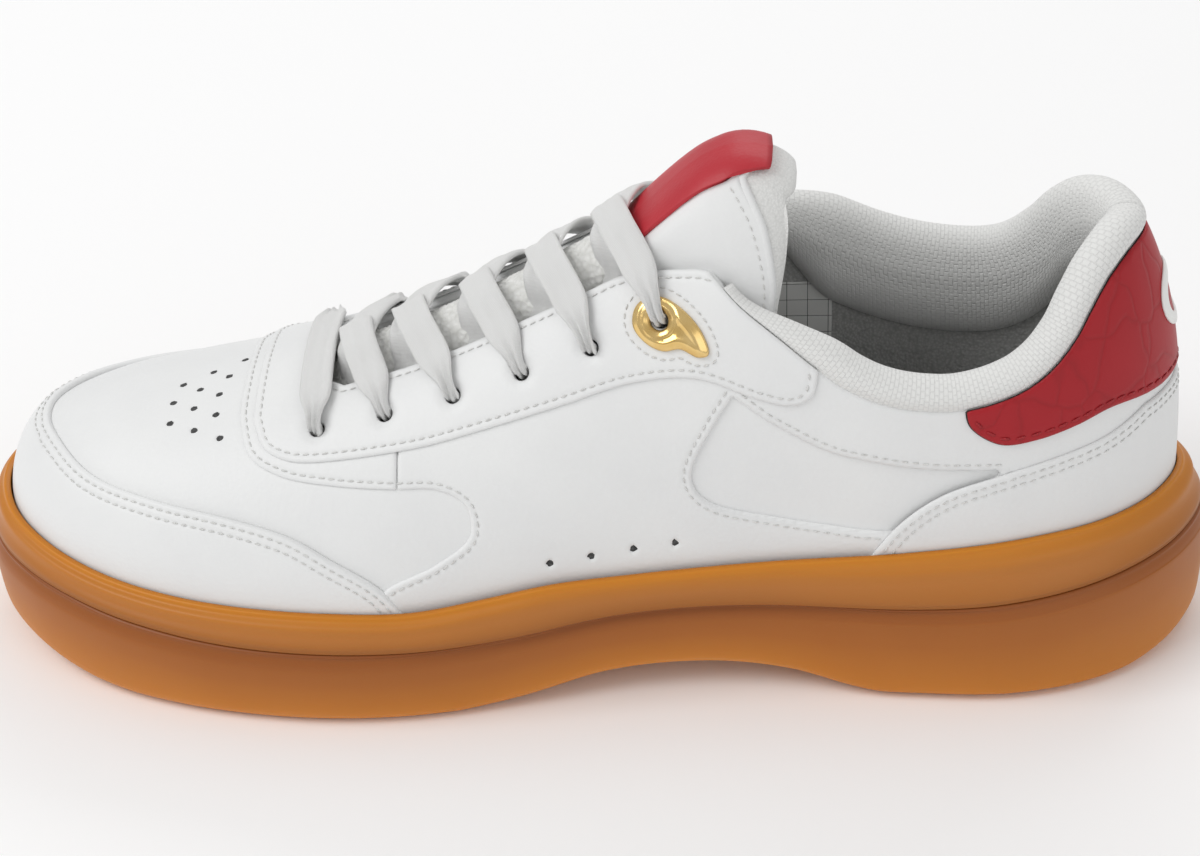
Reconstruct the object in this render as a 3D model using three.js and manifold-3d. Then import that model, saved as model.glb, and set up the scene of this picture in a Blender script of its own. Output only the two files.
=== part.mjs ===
// Low-cut court shoe, left foot: leather upper on a two-tier gum cupsole.
// Frame: +X runs from toe to heel, +Y to the medial side, +Z up, ground at z = 0, millimetres.
// The pattern below is drafted for one base size and graded by the driving dimensions.
import * as THREE from 'three';
import { mergeVertices } from 'three/addons/utils/BufferGeometryUtils.js';
import Module from 'manifold-3d';

const wasm = await Module();
wasm.setup();

// ---- driving dimensions -------------------------------------------------------------
const UPPER_LENGTH = 291; // toe tip to heel back of the leather upper
const BALL_WIDTH = 95; // upper across the ball of the foot
const INSTEP_HEIGHT = 134; // height of the last's ridge at the heel
const SOLE_HEIGHT = 30; // rim of the sole at the ball
const FIT = 0.3; // gap between neighbouring pieces
const LEATHER = 1.0; // thickness of every leather layer
const UPPER_DROP = 5; // depth of the upper inside the cupsole
const BOARD = 1.2; // strobel board
const INSOLE = 3.8; // sockliner
const CORE_INSET = 8; // rubber wall around the foam core
const OUTSOLE_FLOOR = 7; // rubber under the foam core
const COLLAR_THICK = 8.4; // padded collar across its wall
const COLLAR_TALL = 8; // padded collar along its wall
const LACE_WIDTH = 8;
const LACE_THICK = 1.4;
const EYELETS = 6; // pairs
const EYELET_PITCH = 16.7;
const EYELET_RADIUS = 2.8;
const EYELET_ROW = 23.4; // half distance between the two rows
const THROAT_HALF = 14; // half width of the lacing gap
const TONGUE_THICK = 3.2;
const TREAD_DEPTH = 1.8;

// ---- grading from the base pattern ---------------------------------------------------
const kx = UPPER_LENGTH / 291;
const ky = BALL_WIDTH / 95;
const kz = INSTEP_HEIGHT / 134;
const soleLift = SOLE_HEIGHT - 30;
const gradeZ = (z) => 30 + soleLift + (z - 30) * kz;
const gradeXY = (p) => [p[0] * kx, p[1] * ky];
const gradeXZ = (p) => [p[0] * kx, gradeZ(p[1])];

/** Smooth function through [x, value] stations, with averaged slopes. */
function through(stations) {
  const n = stations.length;
  const slope = stations.map((_, i) => {
    const a = stations[Math.max(i - 1, 0)];
    const b = stations[Math.min(i + 1, n - 1)];
    return (b[1] - a[1]) / (b[0] - a[0]);
  });
  return (x) => {
    if (x <= stations[0][0]) return stations[0][1];
    if (x >= stations[n - 1][0]) return stations[n - 1][1];
    let i = 0;
    while (x > stations[i + 1][0]) i += 1;
    const [x0, y0] = stations[i];
    const [x1, y1] = stations[i + 1];
    const w = x1 - x0;
    const q = (x - x0) / w;
    const h1 = q * q * (3 - 2 * q);
    const a = slope[i] * w * q * (1 - q) * (1 - q);
    const b = slope[i + 1] * w * q * q * (q - 1);
    return y0 + (y1 - y0) * h1 + a + b;
  };
}
const alongX = (stations) => through(stations.map(([x, v]) => [x * kx, v]));
const heightAlongX = (stations) => through(stations.map(([x, z]) => [x * kx, gradeZ(z)]));

// ---- the last: plan outline of the upper, ridge, sole rim ------------------------------
const LATERAL = [[-143.5, -10], [-134, -22], [-119, -32.5], [-98, -40.5], [-72, -45],
  [-45, -45.5], [-18, -42], [12, -38], [45, -36], [78, -35.5], [104, -33], [124, -26], [138, -14]];
const MEDIAL = [[-143.5, 19], [-134, 30.5], [-119, 40.5], [-98, 47], [-72, 49.5],
  [-45, 47], [-15, 41], [15, 36.5], [45, 35], [75, 34.5], [102, 32.5], [124, 26], [138, 14]];
const outline = new THREE.CatmullRomCurve3(
  [[-147, 5], ...LATERAL, [144, 0], ...MEDIAL.slice().reverse()]
    .map(gradeXY).map(([x, y]) => new THREE.Vector3(x, y, 0)),
  true,
  'centripetal',
).getPoints(1200).slice(0, 1200);
const toeIndex = outline.reduce((best, p, i) => (p.x < outline[best].x ? i : best), 0);
const heelIndex = outline.reduce((best, p, i) => (p.x > outline[best].x ? i : best), 0);
const TOE_X = outline[toeIndex].x;
const HEEL_X = outline[heelIndex].x;

/** Points of one flank from toe to heel; side -1 is lateral, +1 medial. */
function flankPoints(side) {
  const n = outline.length;
  const list = [];
  for (let i = toeIndex; ; i += -side) {
    list.push(outline[(i + 2 * n) % n]);
    if ((i + 2 * n) % n === heelIndex) return list;
  }
}
const flanks = { '-1': flankPoints(-1), 1: flankPoints(1) };

/** Half outline: y of the upper's edge at x. */
function edgeY(side, x) {
  const list = flanks[side];
  let lo = 0;
  let hi = list.length - 1;
  while (hi - lo > 1) {
    const mid = (lo + hi) >> 1;
    if (list[mid].x < x) lo = mid;
    else hi = mid;
  }
  const span = list[hi].x - list[lo].x;
  const q = span > 1e-9 ? THREE.MathUtils.clamp((x - list[lo].x) / span, 0, 1) : 0;
  return list[lo].y + (list[hi].y - list[lo].y) * q;
}

const rimZ = alongX([[-150, 37.5], [-135, 34.5], [-112, 31.7], [-90, 30.4], [-60, 29.8], [-42, 29.8],
  [-25, 32], [-8, 34.8], [12, 36], [45, 38.4], [80, 40.6], [112, 43], [150, 43.5]]
  .map(([x, z]) => [x, z + soleLift]));
const ridgeZ = heightAlongX([[-160, 46], [-140, 55.5], [-120, 61.5], [-100, 65.5], [-80, 70], [-60, 75.5],
  [-40, 83], [-20, 93], [0, 104], [20, 115], [40, 125], [60, 132], [160, 134]]);
const ridgeY = alongX([[-150, 4], [-100, 1], [-50, 1], [0, 0.5], [60, 0], [160, 0]]
  .map(([x, y]) => [x, y * ky]));
const roundness = alongX([[-150, 2.25], [-110, 2.2], [-60, 2.05], [-20, 1.95], [20, 2.1], [60, 2.4],
  [150, 2.5]]);
const TOE_LEAN = 20 * kx;
const HEEL_LEAN = 50 * kx;

/** x of the ridge point that belongs to the outline point at x. */
function ridgeX(x) {
  const u = x - TOE_X;
  const w = HEEL_X - x;
  return x + (Math.hypot(u, TOE_LEAN) - u) - (Math.hypot(w, HEEL_LEAN) - w);
}

/** Point of the last: u -1..1 runs heel, lateral, toe (0), medial, heel; t 0 is the edge, 1 the ridge. */
function lastPoint(u, t) {
  let uu = u;
  if (uu > 1) uu -= 2;
  if (uu < -1) uu += 2;
  const side = uu < 0 ? -1 : 1;
  const x0 = TOE_X + (HEEL_X - TOE_X) * (1 - Math.cos(Math.PI * Math.abs(uu))) / 2;
  const y0 = edgeY(side, x0);
  const xr = ridgeX(x0);
  const yr = ridgeY(xr);
  const angle = t * Math.PI / 2;
  const power = 2 / roundness(x0);
  const h = 1 - Math.max(Math.cos(angle), 0) ** power;
  const v = Math.sin(angle) ** power;
  const x = x0 + (xr - x0) * h;
  const z0 = rimZ(x0) - UPPER_DROP;
  return new THREE.Vector3(x, y0 + (yr - y0) * h, z0 + (ridgeZ(x) - z0) * v);
}

/** Outward normal of the last. */
function lastNormal(u, t) {
  if (t > 0.985) {
    const x = lastPoint(u, 1).x;
    const rise = (ridgeZ(x + 0.5) - ridgeZ(x - 0.5));
    return new THREE.Vector3(-rise, 0, 1).normalize();
  }
  const du = lastPoint(u + 0.003, t).sub(lastPoint(u - 0.003, t));
  const t0 = Math.max(t - 0.003, 0);
  const dt = lastPoint(u, t + 0.003).sub(lastPoint(u, t0));
  return dt.cross(du).normalize();
}
const onLast = (u, t, d) => lastPoint(u, t).addScaledVector(lastNormal(u, t), d);

/** Height of the last's surface over plan point (x, y) behind the toe. */
function crownZ(x, y) {
  const side = y < ridgeY(x) ? -1 : 1;
  let x0 = x;
  let h = 0;
  for (let i = 0; i < 12; i += 1) {
    const y0 = edgeY(side, x0);
    const xr = ridgeX(x0);
    h = THREE.MathUtils.clamp((y0 - y) / (y0 - ridgeY(xr)), 0, 1);
    x0 = x - (xr - x0) * h;
  }
  const n = roundness(x0);
  const v = (1 - (1 - h) ** n) ** (1 / n);
  const z0 = rimZ(x0) - UPPER_DROP;
  return z0 + (ridgeZ(x) - z0) * v;
}

/** Point at distance d above the crown over plan point (x, y), with its normal. */
function onCrown(x, y, d) {
  const e = 0.4;
  const normal = new THREE.Vector3(
    (crownZ(x - e, y) - crownZ(x + e, y)) / (2 * e),
    (crownZ(x, y - e) - crownZ(x, y + e)) / (2 * e),
    1,
  ).normalize();
  return { p: new THREE.Vector3(x, y, crownZ(x, y)).addScaledVector(normal, d), normal };
}

// ---- building closed bodies ------------------------------------------------------------
/** Closed geometry from points and triangles: welded, slivers dropped, faces turned outward. */
function closedBody(points, triangles) {
  const geometry = new THREE.BufferGeometry();
  const xyz = points.flatMap((p) => [p.x, p.y, p.z]);
  geometry.setAttribute('position', new THREE.Float32BufferAttribute(xyz, 3));
  geometry.setIndex(triangles.flat());
  const welded = mergeVertices(geometry, 1e-4);
  const pos = welded.getAttribute('position');
  const idx = welded.getIndex().array;
  const keep = [];
  let volume = 0;
  const [a, b, c] = [new THREE.Vector3(), new THREE.Vector3(), new THREE.Vector3()];
  for (let i = 0; i < idx.length; i += 3) {
    const [p, q, r] = [idx[i], idx[i + 1], idx[i + 2]];
    if (p === q || q === r || p === r) continue;
    keep.push([p, q, r]);
    a.fromBufferAttribute(pos, p);
    b.fromBufferAttribute(pos, q);
    c.fromBufferAttribute(pos, r);
    volume += a.dot(b.cross(c));
  }
  welded.setIndex(keep.map((f) => (volume < 0 ? [f[0], f[2], f[1]] : f)).flat());
  return welded;
}

/** Body from closed rings of equal length, each joined to the next; both ends capped. */
function fromRings(rings, cap) {
  const n = rings[0].length;
  const points = rings.flat();
  const tris = [];
  for (let k = 0; k + 1 < rings.length; k += 1) {
    for (let i = 0; i < n; i += 1) {
      const j = (i + 1) % n;
      tris.push([k * n + i, k * n + j, (k + 1) * n + j], [k * n + i, (k + 1) * n + j, (k + 1) * n + i]);
    }
  }
  cap(0, n, points).forEach((f) => tris.push([f[0], f[2], f[1]]));
  cap((rings.length - 1) * n, n, points).forEach((f) => tris.push(f));
  return closedBody(points, tris);
}
/** Cap that joins opposite points of a ring that starts at one tip of a long outline. */
function ladderCap(start, n) {
  const tris = [];
  for (let i = 0; i < n / 2; i += 1) {
    const a = start + i;
    const b = start + i + 1;
    const c = start + ((n - i - 1) % n);
    const d = start + ((n - i) % n);
    tris.push([a, b, c], [a, c, d]);
  }
  return tris.filter((f) => f[0] !== f[1] && f[1] !== f[2] && f[0] !== f[2]);
}
/** Cap that fans to the middle of the ring. */
function fanCap(start, n, points) {
  const middle = new THREE.Vector3();
  for (let i = 0; i < n; i += 1) middle.addScaledVector(points[start + i], 1 / n);
  points.push(middle);
  return Array.from({ length: n }, (_, i) => [start + i, start + ((i + 1) % n), points.length - 1]);
}

const toSolid = (geometry) => {
  const g = geometry.clone();
  g.deleteAttribute('normal');
  g.deleteAttribute('uv');
  const welded = mergeVertices(g, 1e-5);
  return new wasm.Manifold(new wasm.Mesh({
    numProp: 3,
    vertProperties: new Float32Array(welded.getAttribute('position').array),
    triVerts: new Uint32Array(welded.getIndex().array),
  }));
};
const toGeometry = (solid) => {
  const mesh = solid.getMesh();
  const geometry = new THREE.BufferGeometry();
  geometry.setAttribute('position', new THREE.BufferAttribute(mesh.vertProperties, 3));
  geometry.setIndex(new THREE.BufferAttribute(mesh.triVerts, 1));
  return geometry;
};

// ---- sheets of the upper: every layer is cut from a shell that follows the last ---------
const HALF_STEPS = 22;
const RISE_STEPS = 7;
const stretch = (m) => m + 0.06 * Math.sin(2 * Math.PI * m);

/** Solid shell over the whole last between two distances from its surface. */
function shell(outer, inner) {
  const cols = 2 * HALF_STEPS;
  const grid = (d) => {
    const list = [];
    for (let j = 0; j <= RISE_STEPS; j += 1) {
      for (let i = 0; i < cols; i += 1) {
        const m = Math.abs(i - HALF_STEPS) / HALF_STEPS;
        const u = stretch(m) * Math.sign(i - HALF_STEPS);
        const p = onLast(u, j / RISE_STEPS, d);
        if (j === RISE_STEPS && i > HALF_STEPS) p.copy(list[list.length - 2 * (i - HALF_STEPS)]);
        list.push(p);
      }
    }
    return list;
  };
  const a = grid(outer);
  const b = grid(inner);
  const tris = [];
  const at = (j, i) => j * cols + (i % cols);
  for (let j = 0; j < RISE_STEPS; j += 1) {
    for (let i = 0; i < cols; i += 1) {
      const q = [at(j, i), at(j, i + 1), at(j + 1, i + 1), at(j + 1, i)];
      tris.push([q[0], q[2], q[1]], [q[0], q[3], q[2]]);
      const r = q.map((k) => k + a.length);
      tris.push([r[0], r[1], r[2]], [r[0], r[2], r[3]]);
    }
  }
  for (let i = 0; i < cols; i += 1) {
    const q = [at(0, i), at(0, i + 1)];
    tris.push([q[0], q[1], q[1] + a.length], [q[0], q[1] + a.length, q[0] + a.length]);
  }
  return toSolid(closedBody(a.concat(b), tris));
}

/** Outline from corner points and smooth runs: a run is a list of points inside the list. */
function draft(items, grade) {
  const shape = new THREE.Shape();
  const flat = (p) => new THREE.Vector2(...grade(p));
  items.forEach((item, i) => {
    const run = Array.isArray(item[0]) ? item.map(flat) : [flat(item)];
    if (i === 0) shape.moveTo(run[0].x, run[0].y);
    else shape.lineTo(run[0].x, run[0].y);
    if (run.length > 1) shape.splineThru(run.slice(1));
  });
  shape.closePath();
  return shape;
}
const WIDE = 130;
/** Prism of a side-view outline (x, z) between two y. */
function sideCut(items, y0 = -WIDE, y1 = WIDE, grade = gradeXZ) {
  const prism = { depth: y1 - y0, bevelEnabled: false, curveSegments: 1 };
  const g = new THREE.ExtrudeGeometry(draft(items, grade), prism);
  g.rotateX(Math.PI / 2);
  g.translate(0, y1, 0);
  return toSolid(g);
}
/** Prism of a plan-view outline (x, y), tall enough for the whole shoe. */
function planCut(items) {
  const prism = { depth: 260, bevelEnabled: false, curveSegments: 2 };
  const g = new THREE.ExtrudeGeometry(draft(items, gradeXY), prism);
  g.translate(0, 0, -20);
  return toSolid(g);
}

// ---- pattern lines -----------------------------------------------------------------------
// Top line of the quarters, where the padded collar sits: side view, lateral and medial.
const TOPLINE = {
  '-1': [[29, 111], [33, 107.5], [38, 103], [47, 96.5], [54.8, 90.3], [62, 84.8], [70.4, 80.8], [80.6, 78.6],
    [90.4, 78.6], [102.8, 82], [110.2, 86.7], [116, 93.5], [120, 100.5], [124, 105.8], [130, 109.2],
    [160, 110]],
  1: [[29, 111], [34, 108], [41, 103.5], [50, 98.5], [60, 93], [70, 88.2], [82, 84.6], [94, 83.4],
    [103, 84.8], [110.2, 88.8], [116, 95], [120, 101.3], [124, 106.1], [130, 109.2], [160, 110]],
};
const toplineZ = { '-1': heightAlongX(TOPLINE[-1]), 1: heightAlongX(TOPLINE[1]) };
/** Everything above one side's top line. */
function aboveTopline(side, y0, y1) {
  const steps = 26;
  const from = TOPLINE[side][0][0] * kx;
  const line = Array.from({ length: steps + 1 }, (_, i) => {
    const x = from + (165 * kx - from) * i / steps;
    return [x, toplineZ[side](x)];
  });
  return sideCut([...line, [165 * kx, 230 * kz], [from, 230 * kz]], y0, y1, (p) => p);
}
const mouth = aboveTopline(-1, -WIDE, 0).add(aboveTopline(1, -0.01, WIDE));
const slotOutline = (half, front) => [
  [70, -half - 1], [10, -half],
  [[front + half * 0.6, -half], [front + half * 0.12, -half * 0.62], [front, 0],
    [front + half * 0.12, half * 0.62], [front + half * 0.6, half]],
  [10, half], [70, half + 1]];
const THROAT_FRONT = -66;
const throat = planCut(slotOutline(THROAT_HALF, THROAT_FRONT));
const eyestayLine = [[-80, 66.5], [-77, 63.3], [-71, 62], [-65.6, 62.2], [-56.2, 63.6], [-44.4, 65.8],
  [-36.4, 67.6], [-23.8, 71.4], [-4.5, 78], [14.6, 84.6], [28.7, 86], [42.7, 81.6], [50, 80.4], [55, 83],
  [56.5, 92]];
const quarterFront = [[-84, 66.5], [-81, 62], [-73, 59.4], [-58.8, 58.6], [-44.4, 58.6], [-34, 58.6],
  [-27.5, 55], [-26.8, 47.6], [-35, 41], [-48, 34.4], [-53, 26]];
const windowEdge = [[36.2, 82], [31.1, 73.4], [26.4, 62.6], [27.4, 57.6], [31.8, 53.6], [45.4, 49.9],
  [59.2, 47.2], [71.8, 45.4], [86, 46]];
const windowTop = [[100, 61.6], [81.4, 62.8], [68, 65.4], [59, 67.9], [44.5, 75.8]];
const mudguardLine = [[-136, 54.2], [-131, 53.4], [-122, 51.2], [-104, 50.4], [-84.5, 49.9], [-70, 47.2],
  [-60.6, 42.7], [-49, 35.4], [-42, 26]];
const foxingLine = [[64, 30], [69.3, 39.2], [76.3, 48.5], [86, 55.9], [99.6, 60.6], [113, 63.7], [126, 66.6],
  [134, 70]];
const tabLine = [[90.6, 80], [91.6, 75], [95.2, 71.4], [100, 69.2], [108.2, 69.7], [116.5, 71.6],
  [124.8, 73.8], [132.4, 73.2], [138, 72.4]];

// ---- eyelets -------------------------------------------------------------------------------
const FIRST_EYELET = -63.8;
const eyeletX = (k) => (FIRST_EYELET + EYELET_PITCH * k) * kx;
const eyeletAt = (k, side) => onCrown(eyeletX(k), side * EYELET_ROW * ky, 0);
/** Round pin along the crown's normal through one eyelet. */
function eyeletPin(k, side, radius, top, bottom) {
  const { p, normal } = eyeletAt(k, side);
  const g = new THREE.CylinderGeometry(radius, radius, top - bottom, 6);
  g.applyQuaternion(new THREE.Quaternion().setFromUnitVectors(new THREE.Vector3(0, 1, 0), normal));
  const c = p.clone().addScaledVector(normal, (top + bottom) / 2);
  g.translate(c.x, c.y, c.z);
  return toSolid(g);
}
let eyeletHoles = null;
for (let k = 0; k < EYELETS; k += 1) {
  [-1, 1].forEach((side) => {
    const pin = eyeletPin(k, side, EYELET_RADIUS, 6, -12);
    eyeletHoles = eyeletHoles ? eyeletHoles.add(pin) : pin;
  });
}

// ---- layers, outside to inside ----------------------------------------------------------------
const step = LEATHER + FIT;
const overlay = shell(FIT + LEATHER, FIT);
const cover = shell(0, -LEATHER);
const base = shell(-step, -step - LEATHER);
const stiff = shell(-2 * step, -2 * step - LEATHER);
const LINING_OUT = -3 * step;
const LINING_IN = LINING_OUT - LEATHER;
const lining = shell(LINING_OUT, LINING_IN);
const LACE_UNDER = LINING_IN - 2 * FIT - LACE_THICK / 2;
const TONGUE_OUT = LINING_IN - 3 * FIT - LACE_THICK;
const tongueShell = shell(TONGUE_OUT, TONGUE_OUT - TONGUE_THICK);

const parts = [];
function add(name, geometry, color, roughness, metalness = 0) {
  const mesh = new THREE.Mesh(geometry, new THREE.MeshStandardMaterial({ color, roughness, metalness }));
  mesh.name = name;
  parts.push(mesh);
}
const addSolid = (name, solid, ...look) => add(name, toGeometry(solid), ...look);
const WHITE = 0xf2f2f0;
const GUM = 0xb5783f;
const RED = 0xb3202f;

// toe mudguard, eyestay, foxing and heel tab
const mudguard = sideCut([mudguardLine, [-42, 5], [-175, 5], [-175, 54.2]]);
addSolid('toe_mudguard', overlay.intersect(mudguard), WHITE, 0.5);
const eyestay = sideCut([eyestayLine, [56.5, 220], [-80, 220]]);
const openings = throat.add(mouth).add(eyeletHoles);
addSolid('eyestay', overlay.intersect(eyestay).subtract(openings), WHITE, 0.5);
const foxing = sideCut([foxingLine, [165, 70.6], [165, 5], [62, 5]]);
addSolid('heel_foxing', overlay.intersect(foxing), WHITE, 0.5);
const tab = sideCut([tabLine, [165, 72], [165, 200], [90.6, 200]]);
const tabSheet = overlay.intersect(tab).subtract(mouth);
addSolid('heel_tab', tabSheet, RED, 0.45);

// cover layer: throat strip and the two quarters, with the side windows and vents cut out
const coverZone = sideCut([quarterFront, [-53, 5], [165, 5], [165, 220], [-84, 220]]);
const coverSheet = cover.intersect(coverZone).subtract(openings);
const SEAM_X = -44;
const box = (x0, x1, y0, y1, z0, z1) => {
  const g = new THREE.BoxGeometry(x1 - x0, y1 - y0, z1 - z0);
  g.translate((x0 + x1) / 2, (y0 + y1) / 2, (z0 + z1) / 2);
  return toSolid(g);
};
addSolid('throat_strip', coverSheet.intersect(box(-200, SEAM_X * kx - FIT / 2, -WIDE, WIDE, gradeZ(50), 250))
  .intersect(sideCut([[-100, 56], [-40, 56], [-40, 220], [-100, 220]])), WHITE, 0.5);
let vents = null;
for (let k = 0; k < 4; k += 1) {
  const g = new THREE.CylinderGeometry(1, 1, WIDE * 2, 4);
  g.translate((-7.9 + 10 * k) * kx, 0, -gradeZ(39.6 + 1.25 * k));
  g.rotateX(Math.PI);
  const diamond = toSolid(g);
  vents = vents ? vents.add(diamond) : diamond;
}
const window = sideCut([windowEdge, windowTop]);
const quarterZone = sideCut([[-44 + 0.15, 5], [165, 5], [165, 220], [-44 + 0.15, 220]])
  .add(sideCut([[-60, 5], [-43, 5], [-43, 55], [-60, 55]]));
const quarters = coverSheet.intersect(quarterZone).subtract(window).subtract(vents);
addSolid('lateral_quarter', quarters.intersect(box(-200, 200, -WIDE, -FIT / 2, -10, 250)), WHITE, 0.5);
addSolid('medial_quarter', quarters.intersect(box(-200, 200, FIT / 2, WIDE, -10, 250)), WHITE, 0.5);

// base layer: vamp with its punched air holes, and the side panels behind the windows
const vampZone = sideCut([[-175, 5], [-20, 5], [-20, 50], [-34, 90], [-34, 220], [-175, 220]]);
let punches = null;
for (let row = 0; row < 3; row += 1) {
  const count = 3 + row;
  for (let i = 0; i < count; i += 1) {
    const across = (i - (count - 1) / 2) * 7.1;
    const x = -100 + 6.3 * row + 0.016 * across * across + 0.1 * across;
    const { p, normal } = onCrown(x * kx, (across - 6) * ky, 0);
    const g = new THREE.CylinderGeometry(0.8, 0.8, 8, 4);
    g.applyQuaternion(new THREE.Quaternion().setFromUnitVectors(new THREE.Vector3(0, 1, 0), normal));
    g.translate(p.x, p.y, p.z);
    const punch = toSolid(g);
    punches = punches ? punches.add(punch) : punch;
  }
}
addSolid('vamp', base.intersect(vampZone).subtract(openings).subtract(punches), WHITE, 0.5);
const panel = sideCut([[[38, 88], [26, 78], [20, 62], [22, 51], [40, 43], [80, 39], [106, 48], [108, 62],
  [88, 69], [66, 72], [50, 82], [38, 88]]]);
const panels = base.intersect(panel);
addSolid('lateral_side_panel', panels.intersect(box(-200, 200, -WIDE, 0, -10, 250)), WHITE, 0.55);
addSolid('medial_side_panel', panels.intersect(box(-200, 200, 0, WIDE, -10, 250)), WHITE, 0.55);

// stiffeners and lining
addSolid('toe_puff', stiff.intersect(sideCut([[-175, 5], [-112, 5], [-118, 80], [-175, 80]])), 0xd8cbb0, 0.8);
const counter = sideCut([[[84, 5], [88, 45], [98, 66], [116, 82], [126, 94], [165, 96]], [165, 5]]);
addSolid('heel_counter', stiff.intersect(counter), 0xd8cbb0, 0.8);
const liningSheet = lining.subtract(openings);
const liningFront = sideCut([[-175, 5], [-49 - 0.15, 5], [-49 - 0.15, 220], [-175, 220]]);
const liningBack = sideCut([[-49 + 0.15, 5], [165, 5], [165, 220], [-49 + 0.15, 220]]);
addSolid('vamp_lining', liningSheet.intersect(liningFront), 0xe6e6e3, 0.9);
addSolid('quarter_lining', liningSheet.intersect(liningBack), 0xc9cac8, 0.95);
addSolid('size_label', shell(LINING_IN - FIT, LINING_IN - FIT - 0.5)
  .intersect(sideCut([[44, 57], [60, 57], [60, 78], [44, 78]], 5, WIDE)), 0xd7d8d6, 0.8);

// ---- padded collar ------------------------------------------------------------------------------
const COLLAR_SINK = COLLAR_THICK / 2 - 0.4;
const COLLAR_SEAT = 1.3; // collar seam above the top line
/** Foot of the collar roll at u, on the top line, and its level outward direction. */
function collarAt(u) {
  const side = u < 0 ? -1 : 1;
  let lo = 0;
  let hi = 1;
  for (let i = 0; i < 30; i += 1) {
    const t = (lo + hi) / 2;
    const p = lastPoint(u, t);
    if (p.z < toplineZ[side](p.x)) lo = t;
    else hi = t;
  }
  const out = lastNormal(u, lo).setZ(0).normalize();
  const p = lastPoint(u, lo).addScaledVector(out, -COLLAR_SINK);
  p.z = toplineZ[side](p.x);
  return { p, out };
}
function collarRoll() {
  const start = Math.acos(1 - 2 * (41 * kx - TOE_X) / (HEEL_X - TOE_X)) / Math.PI;
  const stations = [];
  const half = 14;
  for (let i = -half; i <= half; i += 1) {
    const u = start + (1 - start) * (1 - Math.abs(i) / half);
    stations.push(collarAt(i < 0 ? -u : u));
  }
  const rings = stations.map((s, i) => {
    const before = stations[Math.max(i - 1, 0)].p;
    const after = stations[Math.min(i + 1, stations.length - 1)].p;
    const along = after.clone().sub(before).normalize();
    const out = s.out.clone().addScaledVector(along, -s.out.dot(along)).normalize();
    const up = new THREE.Vector3().crossVectors(out, along).normalize();
    if (up.z < 0) up.negate();
    const end = i === 0 || i === stations.length - 1 ? 0.72 : 1;
    return Array.from({ length: 12 }, (_, k) => {
      const a = (k + 0.5) * Math.PI / 6;
      const c = Math.sign(Math.cos(a)) * Math.abs(Math.cos(a)) ** 0.8;
      const q = Math.sign(Math.sin(a)) * Math.abs(Math.sin(a)) ** 0.8;
      return s.p.clone().addScaledVector(out, c * COLLAR_THICK / 2 * end)
        .addScaledVector(up, COLLAR_TALL / 2 + COLLAR_SEAT + q * COLLAR_TALL / 2 * end);
    });
  });
  return fromRings(rings, fanCap);
}
add('collar', collarRoll(), 0xe9e9e6, 0.95);

// ---- sole ------------------------------------------------------------------------------------------
const grooveZ = alongX([[-155, 28], [-130, 26.2], [-111, 24], [-81, 21.8], [-44, 21.5], [-20, 22.6],
  [4, 25.6], [28, 27], [64, 27.5], [88, 28], [112, 30], [131, 31.8], [155, 33]]
  .map(([x, z]) => [x, z + soleLift]));
const groundLine = alongX([[-155, 7], [-140, 3.5], [-125, 0.9], [-113, 0], [-108, 0], [-36, 0], [-31, 0],
  [-15, 2], [5, 6], [30, 7], [50, 5], [64, 1.4], [72, 0], [77, 0], [128, 0], [133, 0], [145, 1.5], [155, 3.5]]);
const groundZ = (x) => Math.max(groundLine(x), 0);
const grooveOut = alongX([[-155, 6], [-110, 6.5], [-60, 7], [-20, 6], [10, 4.2], [40, 4.2], [80, 7.5], [110, 9],
  [155, 7]]);
const bulgeOut = alongX([[-155, 7.5], [-100, 8.5], [-60, 8.5], [-25, 6.5], [10, 3.6], [40, 3.8], [80, 8.5],
  [110, 11], [155, 9]]);

/** Ring around the outline, moved out by out(x) in plan, at height z(x). */
function ring(out, z) {
  const list = [];
  for (let i = 0; i < 2 * HALF_STEPS; i += 1) {
    const m = i <= HALF_STEPS ? i / HALF_STEPS : 2 - i / HALF_STEPS;
    const u = stretch(m) * (i <= HALF_STEPS ? -1 : 1);
    const p = lastPoint(u, 0);
    const q = lastPoint(u + 0.004, 0).sub(lastPoint(u - 0.004, 0));
    const off = out(p.x);
    const w = new THREE.Vector2(-q.y, q.x).normalize();
    list.push(new THREE.Vector3(p.x + w.x * off, p.y + w.y * off, z(p.x + w.x * off)));
  }
  return list;
}
const flatOut = (v) => () => v;
const CAVITY_OUT = FIT + LEATHER + FIT;
const boardTop = (x) => rimZ(x) - UPPER_DROP - FIT;
const cupFloor = (x) => boardTop(x) - BOARD - FIT;
const outsole = toSolid(fromRings([
  ring(flatOut(-CORE_INSET), (x) => groundZ(x) + OUTSOLE_FLOOR),
  ring(flatOut(-CORE_INSET), (x) => grooveZ(x) - FIT / 2),
  ring((x) => grooveOut(x) - 1.5, (x) => grooveZ(x) - FIT / 2),
  ring((x) => bulgeOut(x) - 0.7, (x) => grooveZ(x) - 2),
  ring(bulgeOut, (x) => grooveZ(x) - 6),
  ring((x) => bulgeOut(x) - 0.6, (x) => groundZ(x) + 6),
  ring((x) => bulgeOut(x) - 2.4, (x) => groundZ(x) + 2),
  ring((x) => bulgeOut(x) - 5, groundZ),
], ladderCap));
let tread = null;
[[-104, -38, 8], [82, 128, 6]].forEach(([from, to, count]) => {
  for (let i = 0; i < count; i += 1) {
    const x = (from + (to - from) * (i / (count - 1))) * kx;
    const bar = box(x - 1.3, x + 1.3, -WIDE, WIDE, -5, TREAD_DEPTH);
    tread = tread ? tread.add(bar) : bar;
  }
});
addSolid('outsole', outsole.subtract(tread), 0x9a6233, 0.55);
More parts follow.
